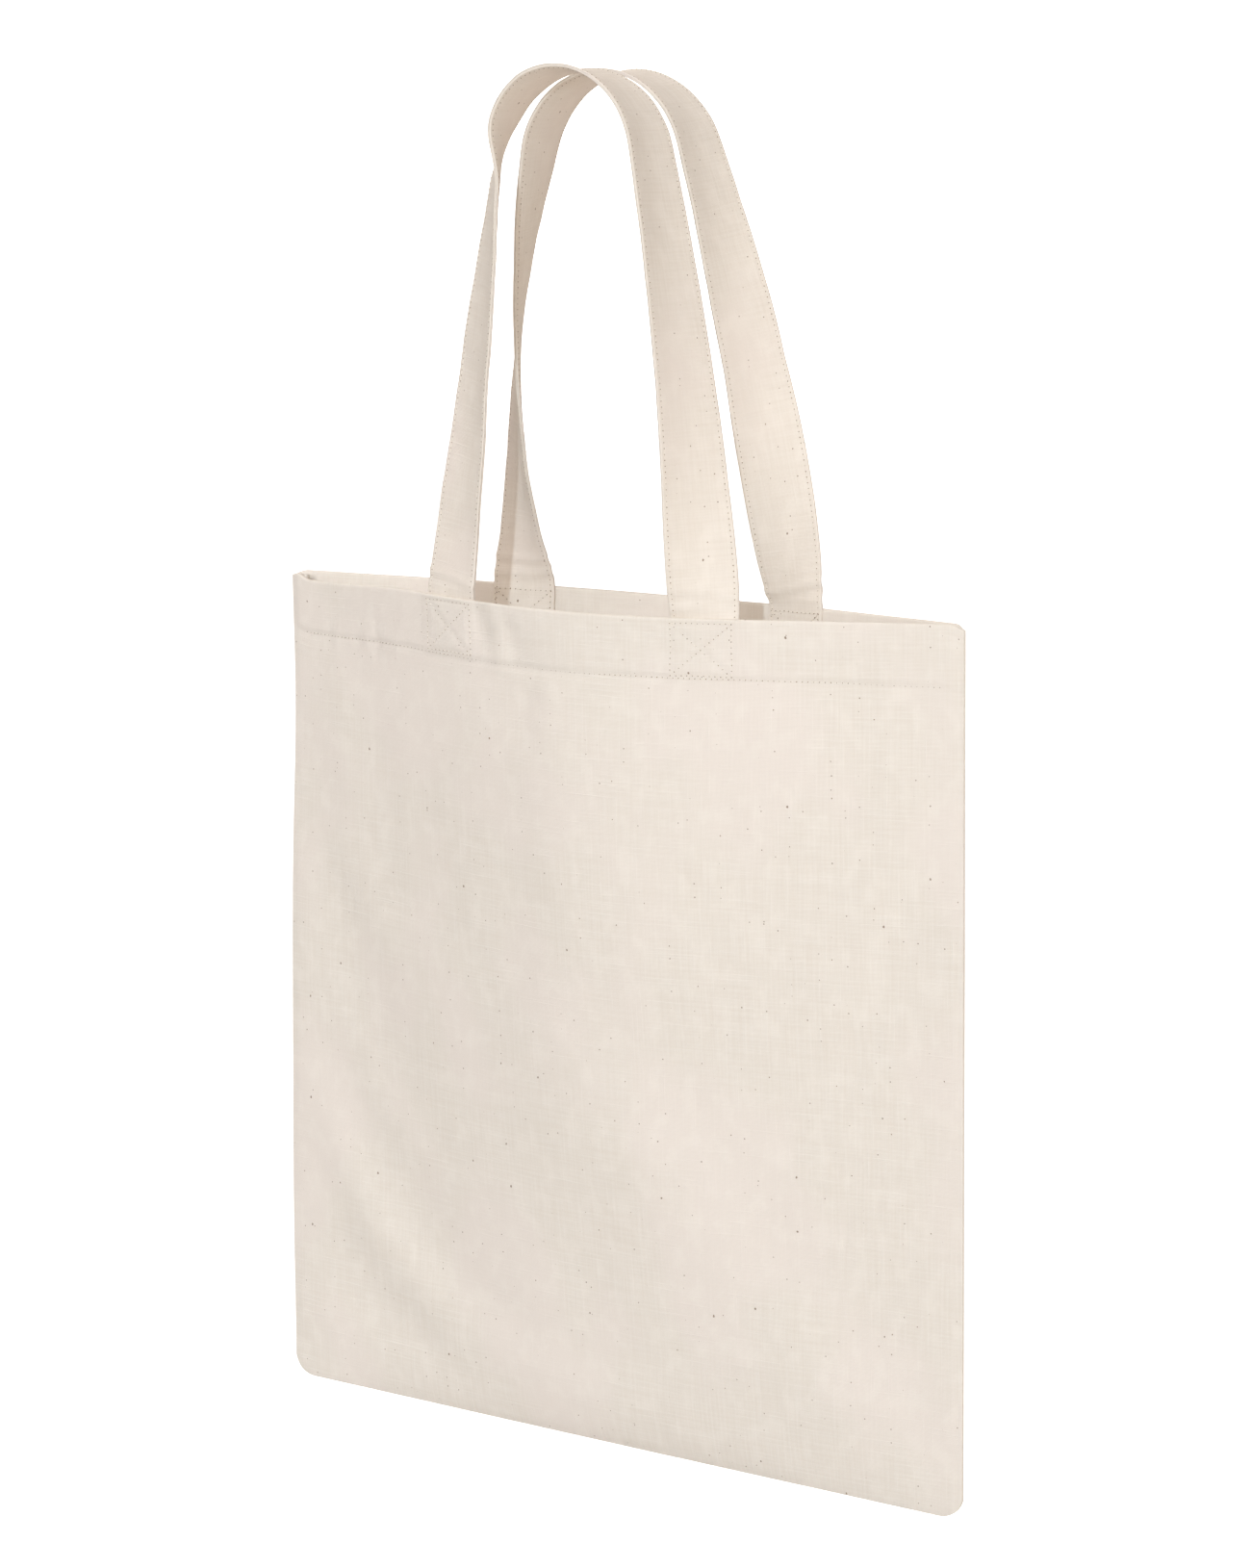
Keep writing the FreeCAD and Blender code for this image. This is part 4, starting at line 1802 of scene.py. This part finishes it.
@dataclass
class Sewing:
    """Where the thread runs on the bag."""

    form: BagForm
    stitching: Stitching
    reliefs: dict[Side, Relief]
    skin_outer: float = 1.38 * MM
    tail_inner: float = -2.98 * MM
    hem_inner: float = -0.83 * MM
    hem_margin: float = 1 * MM
    row_points: int = 420
    side_points: int = 24
    cross_points: int = 30
    wobble: float = 0.35 * MM
    wobble_pitch: float = 6 * MM
    wobble_seed: int = 31

    def outside(self, side: Side, x: Array, down: Array) -> Array:
        """Points on a panel's outer face, at lengths across and down."""
        lift = self.reliefs[side].lift(x, down)
        return self.form.at(side, x, down, self.skin_outer + lift)

    def hem_row(self, side: Side) -> bpy.types.Object:
        """The row that holds a hem, on both its faces.

        Args:
            side: whose hem.

        Returns:
            The stitches.
        """
        reach = self.form.mouth_width / 2 - self.form.seam_allowance - self.hem_margin
        x = np.linspace(-reach, reach, self.row_points)
        down = self.reliefs[side].hem_row(x)
        rows = [self.outside(side, x, down)]
        clear = np.ones(len(x), bool)
        for tail in TAILS:
            if tail.side is side:
                clear &= np.abs(x - tail.middle) > tail.width / 2
        starts = np.flatnonzero(np.diff(np.concatenate([[0], clear.astype(int), [0]])))
        for a, b in zip(starts[::2], starts[1::2]):
            rows.append(self.form.at(side, x[a:b], down[a:b], self.hem_inner))
        piece = self.stitching.sew(f"{side.label}_hem_stitches", rows)
        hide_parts(f"{side.label}_hem_stitching")
        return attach(piece, "bag")

    def box(self, tail: Tail) -> bpy.types.Object:
        """The square with a cross that holds a tail, on both its faces.

        Args:
            tail: the tail.

        Returns:
            The stitches.
        """
        half_x, half_z = tail.width / 2 - tail.margin, tail.depth / 2 - tail.margin
        corners = [(-1, -1), (1, -1), (1, 1), (-1, 1), (-1, -1)]
        square = [line_between(a, b, self.side_points) for a, b in zip(corners, corners[1:])]
        cross = [line_between(corners[k], corners[k + 2], self.cross_points) for k in (0, 1)]
        rows = []
        for path in [np.concatenate(square)] + cross:
            u, v = path[:, 0] * half_x, path[:, 1] * half_z
            wobble = self.wobble * cloth_noise(u, v, self.wobble_pitch, self.wobble_seed)
            x, down = tail.middle + u + wobble, tail.depth / 2 + v - wobble
            rows.append(self.outside(tail.side, x, down))
            rows.append(self.form.at(tail.side, x, down, self.tail_inner))
        piece = self.stitching.sew(f"{tail.name}_box_stitches", rows)
        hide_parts(f"{tail.name}_box_stitch")
        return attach(piece, "bag")


def line_between(a: Pair, b: Pair, count: int) -> Array:
    """Evenly spaced points from one to the other."""
    share = np.linspace(0, 1, count)[:, None]
    return np.array(a) * (1 - share) + np.array(b) * share


# --------------------------------------------------------------------------- the seams


@dataclass
class Seam:
    """A turned-in seam allowance: two raw edges of cloth, overcast with thread."""

    form: BagForm
    name: str
    start: Pair
    end: Pair
    inward: Pair
    seed: int
    thickness: float = 0.55 * MM
    layer: float = 0.36 * MM
    first: float = 1.1 * MM
    last: float = 0.5 * MM
    step: float = 2.5 * MM
    across_points: int = 6
    wave: float = 0.25 * MM
    wave_pitch: float = 14 * MM
    wave_from: float = 8 * MM
    ragged: float = 0.4 * MM
    ragged_pitch: float = 3 * MM
    layer_shift: float = 20 * MM
    thread_step: float = 1.6 * MM
    thread_end: float = 2 * MM
    thread_edge: float = 0.4 * MM
    thread_width: float = 3.2 * MM

    @property
    def length(self) -> float:
        """From one end to the other."""
        return math.hypot(self.end[0] - self.start[0], self.end[1] - self.start[1])

    def place(self, along: Array, inside: Array, layer: float) -> Array:
        """Points on the allowance, which follows the drawn-in side of the bag.

        Args:
            along: from its start.
            inside: into the bag from the seam.
            layer: how far its layer is from the seam plane.

        Returns:
            The points.
        """
        run = np.array(self.end) - np.array(self.start)
        run = run / np.hypot(*run)
        wave = self.wave * cloth_noise(along, inside, self.wave_pitch, self.seed)
        wave = wave * smooth_step(inside / self.wave_from)
        x = self.start[0] + run[0] * along + self.inward[0] * inside
        z = self.start[1] + run[1] * along + self.inward[1] * inside
        t = (z - self.form.bottom_z) / self.form.body_height
        hand = np.sign(x - self.form.centre_x)
        drawn = self.form.half_width(t) - self.form.edge(hand, t)
        x = x - abs(self.inward[0]) * hand * drawn
        return np.stack([x, layer + wave, z], axis=-1)

    def build(self, finish: bpy.types.Material) -> bpy.types.Object:
        """Builds the two layers of the allowance.

        Args:
            finish: their finish.

        Returns:
            The allowance.
        """
        along = np.linspace(0, self.length, int(self.length / self.step))
        inside = np.linspace(self.first, self.form.seam_allowance - self.last,
                             self.across_points)
        a, b = np.meshgrid(along, inside, indexing="ij")
        ragged = self.ragged * cloth_noise(a, 0 * a, self.ragged_pitch, self.seed + 1)
        ragged = ragged * (b == b.max())
        points, faces, flats = [], [], []
        for number, layer in enumerate((-self.layer, self.layer)):
            points.append(self.place(a, b + ragged, layer).reshape(-1, 3))
            flats.append(np.stack([a, b + number * self.layer_shift], axis=-1).reshape(-1, 2))
            shift = number * a.size
            for face in grid_faces(*a.shape, flip=number == 0):
                faces.append(tuple(v + shift for v in face))
        piece = new_piece(f"{self.name}_allowance", np.concatenate(points), faces,
                          np.concatenate(flats), finish)
        thicken(piece, self.thickness)
        bake_modifiers(piece)
        face_outwards(piece)
        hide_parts(self.name)
        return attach(piece, "bag")

    def overcast(self, stitching: Stitching, node: str) -> bpy.types.Object:
        """Zigzag thread over the raw edge.

        Args:
            stitching: how it is sewn.
            node: the node that it stands for.

        Returns:
            The stitches.
        """
        count = int(self.length / self.thread_step)
        along = np.linspace(self.thread_end, self.length - self.thread_end, count)
        edge = self.form.seam_allowance - self.thread_edge
        inside = np.where(np.arange(count) % 2, edge, edge - self.thread_width)
        rows = [self.place(along, inside, layer * (self.layer + self.thickness / 2))
                for layer in (-1, 1)]
        piece = stitching.sew(f"{self.name}_overcast", rows)
        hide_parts(node)
        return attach(piece, "bag")


# --------------------------------------------------------------------------- the studio


def aim(name: str, data: bpy.types.ID, place: tuple[float, float, float],
        forward: Vector) -> bpy.types.Object:
    """Adds a light or a camera to the scene.

    Args:
        name: its name.
        data: the light or the camera.
        place: where it stands.
        forward: the way it faces.

    Returns:
        Its object.
    """
    thing = bpy.data.objects.new(name, data)
    thing.location = place
    thing.rotation_mode = "QUATERNION"
    thing.rotation_quaternion = forward.to_track_quat("-Z", "Y")
    bpy.context.scene.collection.objects.link(thing)
    return thing


def heading(azimuth: float, elevation: float) -> Vector:
    """The way out from the bag at an angle round it and above it, in degrees."""
    az, el = math.radians(azimuth), math.radians(elevation)
    return Vector((math.sin(az) * math.cos(el), -math.cos(az) * math.cos(el), math.sin(el)))


@dataclass(frozen=True)
class Lamp:
    """An area light that faces a target."""

    name: str
    place: tuple[float, float, float]
    size: float
    power: float
    colour: Colour

    def build(self, target: Vector) -> None:
        """Adds the light to the scene.

        Args:
            target: where it points.
        """
        data = bpy.data.lights.new(self.name, "AREA")
        data.energy, data.size, data.color = self.power, self.size, self.colour
        aim(self.name, data, self.place, target - Vector(self.place))


@dataclass(frozen=True)
class FarLight:
    """A light from far away, at an angle round the bag and above it, in degrees."""

    name: str
    azimuth: float
    elevation: float
    spread: float
    strength: float
    colour: Colour
    shadows: bool

    def build(self) -> None:
        """Adds the light to the scene."""
        data = bpy.data.lights.new(self.name, "SUN")
        data.energy, data.angle = self.strength, math.radians(self.spread)
        data.color, data.use_shadow = self.colour, self.shadows
        aim(self.name, data, (0.0, 0.0, 0.0), -heading(self.azimuth, self.elevation))


@dataclass(frozen=True)
class Studio:
    """A white floor and backdrop, a key light, soft fills and the camera.

    The fills cast no shadow, because cotton canvas scatters much of its light inside.
    """

    eye: tuple[float, float, float] = (0.9408, -1.4474, -0.0140)
    azimuth: float = 32.58
    pitch: float = 10.29
    lens: float = 86.74
    sensor: float = 36.0
    clip: Pair = (0.05, 100.0)
    key: FarLight = FarLight("key_light", 21.5, 9.5, 1.6, 1.25, (0.77, 0.90, 1.0), True)
    front_fill: FarLight = FarLight("front_fill", 10.0, 32.0, 70.0, 0.80, (1.0, 0.94, 0.89), False)
    side_fill: FarLight = FarLight("side_fill", 80.0, -40.0, 60.0, 1.08, (1.0, 0.89, 0.78), False)
    back_fill: FarLight = FarLight("back_fill", 205.0, 12.0, 70.0, 1.70, (1.0, 0.93, 0.87), False)
    fill_colour: Colour = (1.0, 0.90, 0.83)
    fill_strength: float = 0.36
    softbox: Lamp = Lamp("softbox", (0.2, -1.5, 2.2), 2.6, 36.0, (1.0, 0.94, 0.89))
    floor_drop: float = 0.45
    floor_size: float = 9.0
    floor_glow: float = 0.80
    backdrop_glow: float = 1.0
    backdrop_size: float = 10.8
    backdrop_rounds: int = 4
    paint: float = 0.95

    def light(self) -> None:
        """Adds the lights."""
        for far_light in (self.key, self.front_fill, self.side_fill, self.back_fill):
            far_light.build()
        low, high = CAD_BOX
        self.softbox.build((low + high) / 2)
        world = bpy.data.worlds.new("studio_fill")
        world.use_nodes = True
        back = world.node_tree.nodes["Background"]
        back.inputs["Color"].default_value = (*self.fill_colour, 1.0)
        back.inputs["Strength"].default_value = self.fill_strength
        bpy.context.scene.world = world

    def stage(self) -> None:
        """Adds the floor and the backdrop, which aren't part of the bag."""
        corners = np.array([[-1, -1, 0], [1, -1, 0], [1, 1, 0], [-1, 1, 0]], float)
        points = corners * self.floor_size
        points[:, 2] = CAD_BOX[0].z - self.floor_drop
        floor = new_piece("studio_floor", points, [(0, 1, 2, 3)], None,
                          self.white("floor_white", self.floor_glow))
        work = bmesh.new()
        bmesh.ops.create_icosphere(work, subdivisions=self.backdrop_rounds,
                                   radius=self.backdrop_size)
        bmesh.ops.reverse_faces(work, faces=work.faces[:])
        mesh = bpy.data.meshes.new("studio_backdrop")
        work.to_mesh(mesh)
        work.free()
        mesh.materials.append(self.white("backdrop_white", self.backdrop_glow))
        shell = bpy.data.objects.new("studio_backdrop", mesh)
        bpy.context.scene.collection.objects.link(shell)
        for piece in (floor, shell):
            piece.visible_diffuse = False
            piece.visible_glossy = False
            piece.visible_shadow = False

    def white(self, name: str, glow: float) -> bpy.types.Material:
        """A white stage material with some light of its own.

        Args:
            name: its name.
            glow: how much light it gives.

        Returns:
            The material.
        """
        graph = Graph(name)
        return graph.close(graph.surface({
            "Base Color": (self.paint, self.paint, self.paint, 1.0),
            "Roughness": 1.0,
            "Specular IOR Level": 0.0,
            "Emission Color": (1.0, 1.0, 1.0, 1.0),
            "Emission Strength": glow,
        }))

    def camera(self) -> None:
        """Adds the camera."""
        data = bpy.data.cameras.new("camera")
        data.lens, data.sensor_width = self.lens, self.sensor
        data.clip_start, data.clip_end = self.clip
        forward = -heading(self.azimuth, self.pitch)
        bpy.context.scene.camera = aim("camera", data, self.eye, forward)


# --------------------------------------------------------------------------- the bag

# Places are across from the middle and down from the mouth.
FRONT_FOLDS = (
    Fold((6 * MM, 34 * MM), (2 * MM, 190 * MM), 4.6 * MM, 32 * MM, 86 * MM, fade=0.6),
    Fold((-51 * MM, 1 * MM), (-44 * MM, 24 * MM), -0.9 * MM, 4 * MM, 5 * MM, spread=0.8),
    Fold((-32 * MM, 8 * MM), (-30 * MM, 30 * MM), -0.9 * MM, 4 * MM, 6 * MM, spread=0.8),
    Fold((-41 * MM, 6 * MM), (-37 * MM, 30 * MM), 0.7 * MM, 4 * MM, 6 * MM, spread=0.8),
    Fold((-20 * MM, 36 * MM), (-24 * MM, 62 * MM), -0.7 * MM, 5 * MM, 6 * MM, spread=0.5),
    Fold((-9 * MM, 30 * MM), (-14 * MM, 58 * MM), 0.5 * MM, 5 * MM, 7 * MM, spread=0.5),
    Fold((-44 * MM, 176 * MM), (158 * MM, 402 * MM), 3.0 * MM, 46 * MM, 30 * MM, fade=0.5),
    Fold((176 * MM, 1 * MM), (183 * MM, 12 * MM), -1.0 * MM, 1.2 * MM, 1.6 * MM),
    Fold((-100 * MM, 4 * MM), (-108 * MM, 30 * MM), 0.6 * MM, 5 * MM, 6 * MM),
)
BACK_FOLDS = (
    Fold((-30 * MM, 30 * MM), (-10 * MM, 210 * MM), 3.0 * MM, 70 * MM, 26 * MM, fade=0.5),
    Fold((60 * MM, 40 * MM), (-120 * MM, 380 * MM), 2.6 * MM, 34 * MM, 44 * MM, fade=0.5),
    Fold((48 * MM, 2 * MM), (40 * MM, 36 * MM), -0.8 * MM, 4 * MM, 5 * MM, spread=0.8),
)


CLOTH_SEED, STRAP_SEED, SEAM_SEED, BOTTOM_SEED = 50, 80, 90, 95
SEAM_HEAD = 2 * MM  # how far below the mouth the side seams' allowances end


def main() -> None:
    """Builds the bag piece by piece, then its studio."""
    logging.basicConfig(level=logging.INFO, format="%(name)s: %(message)s")
    bpy.context.scene.view_settings.view_transform = "Standard"
    form = BagForm.from_frame()
    finishes = Finishes.build()
    folds = {Side.FRONT: FRONT_FOLDS, Side.BACK: BACK_FOLDS}
    reliefs = {side: Relief(form, side, folds[side], Drape(form, side).settle(),
                            CLOTH_SEED + 10 * side.value)
               for side in Side}
    stitching = Stitching(finishes)
    sewing = Sewing(form, stitching, reliefs)
    for side in Side:
        panel = Panel(form, side, reliefs[side]).build(finishes.canvas)
        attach(panel, "bag")
        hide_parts(f"{side.label}_panel", f"{side.label}_hem")
        hem_row = sewing.hem_row(side)
        log.info("%s panel and hem sewn", side.label)
        handle = Handle(form, side, STRAP_SEED + side.value)
        strip = handle.build(finishes.strap)
        handle.blend(strip)
        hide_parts(f"{side.label}_handle", f"{side.label}_left_tail",
                    f"{side.label}_right_tail")
        rows = stitching.sew(f"{side.label}_handle_stitches", handle.stitch_rows())
        handle.blend(rows)
        log.info("%s handle made", side.label)
    for tail in TAILS:
        sewing.box(tail)
    seams(form, finishes, stitching)
    studio = Studio()
    studio.stage()
    studio.light()
    studio.camera()
    log.info("studio lit")


def seams(form: BagForm, finishes: Finishes, stitching: Stitching) -> None:
    """Builds the seam allowances and the thread over their raw edges.

    Args:
        form: the bag's form.
        finishes: its finishes.
        stitching: how it is sewn.
    """
    for hand in Hand:
        low_t = form.corner_radius / form.body_height
        foot = (form.centre_x + hand.value * float(form.half_width(low_t)),
                form.bottom_z + form.corner_radius)
        head = (form.centre_x + hand.value * float(form.half_width(1.0)),
                form.mouth_z - SEAM_HEAD)
        seam = Seam(form, f"{hand.label}_side_seam", foot, head, (-hand.value, 0.0),
                    SEAM_SEED + hand.value)
        seam.build(finishes.canvas)
        seam.overcast(stitching, f"{hand.label}_seam_stitching")
        log.info("%s side seam made", hand.label)
    reach = form.body_width / 2 - form.corner_radius
    bottom = Seam(form, "bottom_seam", (form.centre_x - reach, form.bottom_z),
                  (form.centre_x + reach, form.bottom_z), (0.0, 1.0), BOTTOM_SEED)
    bottom.build(finishes.canvas)
    bottom.overcast(stitching, "bottom_seam_stitching")
    log.info("bottom seam made")


if __name__ == "__main__":
    main()
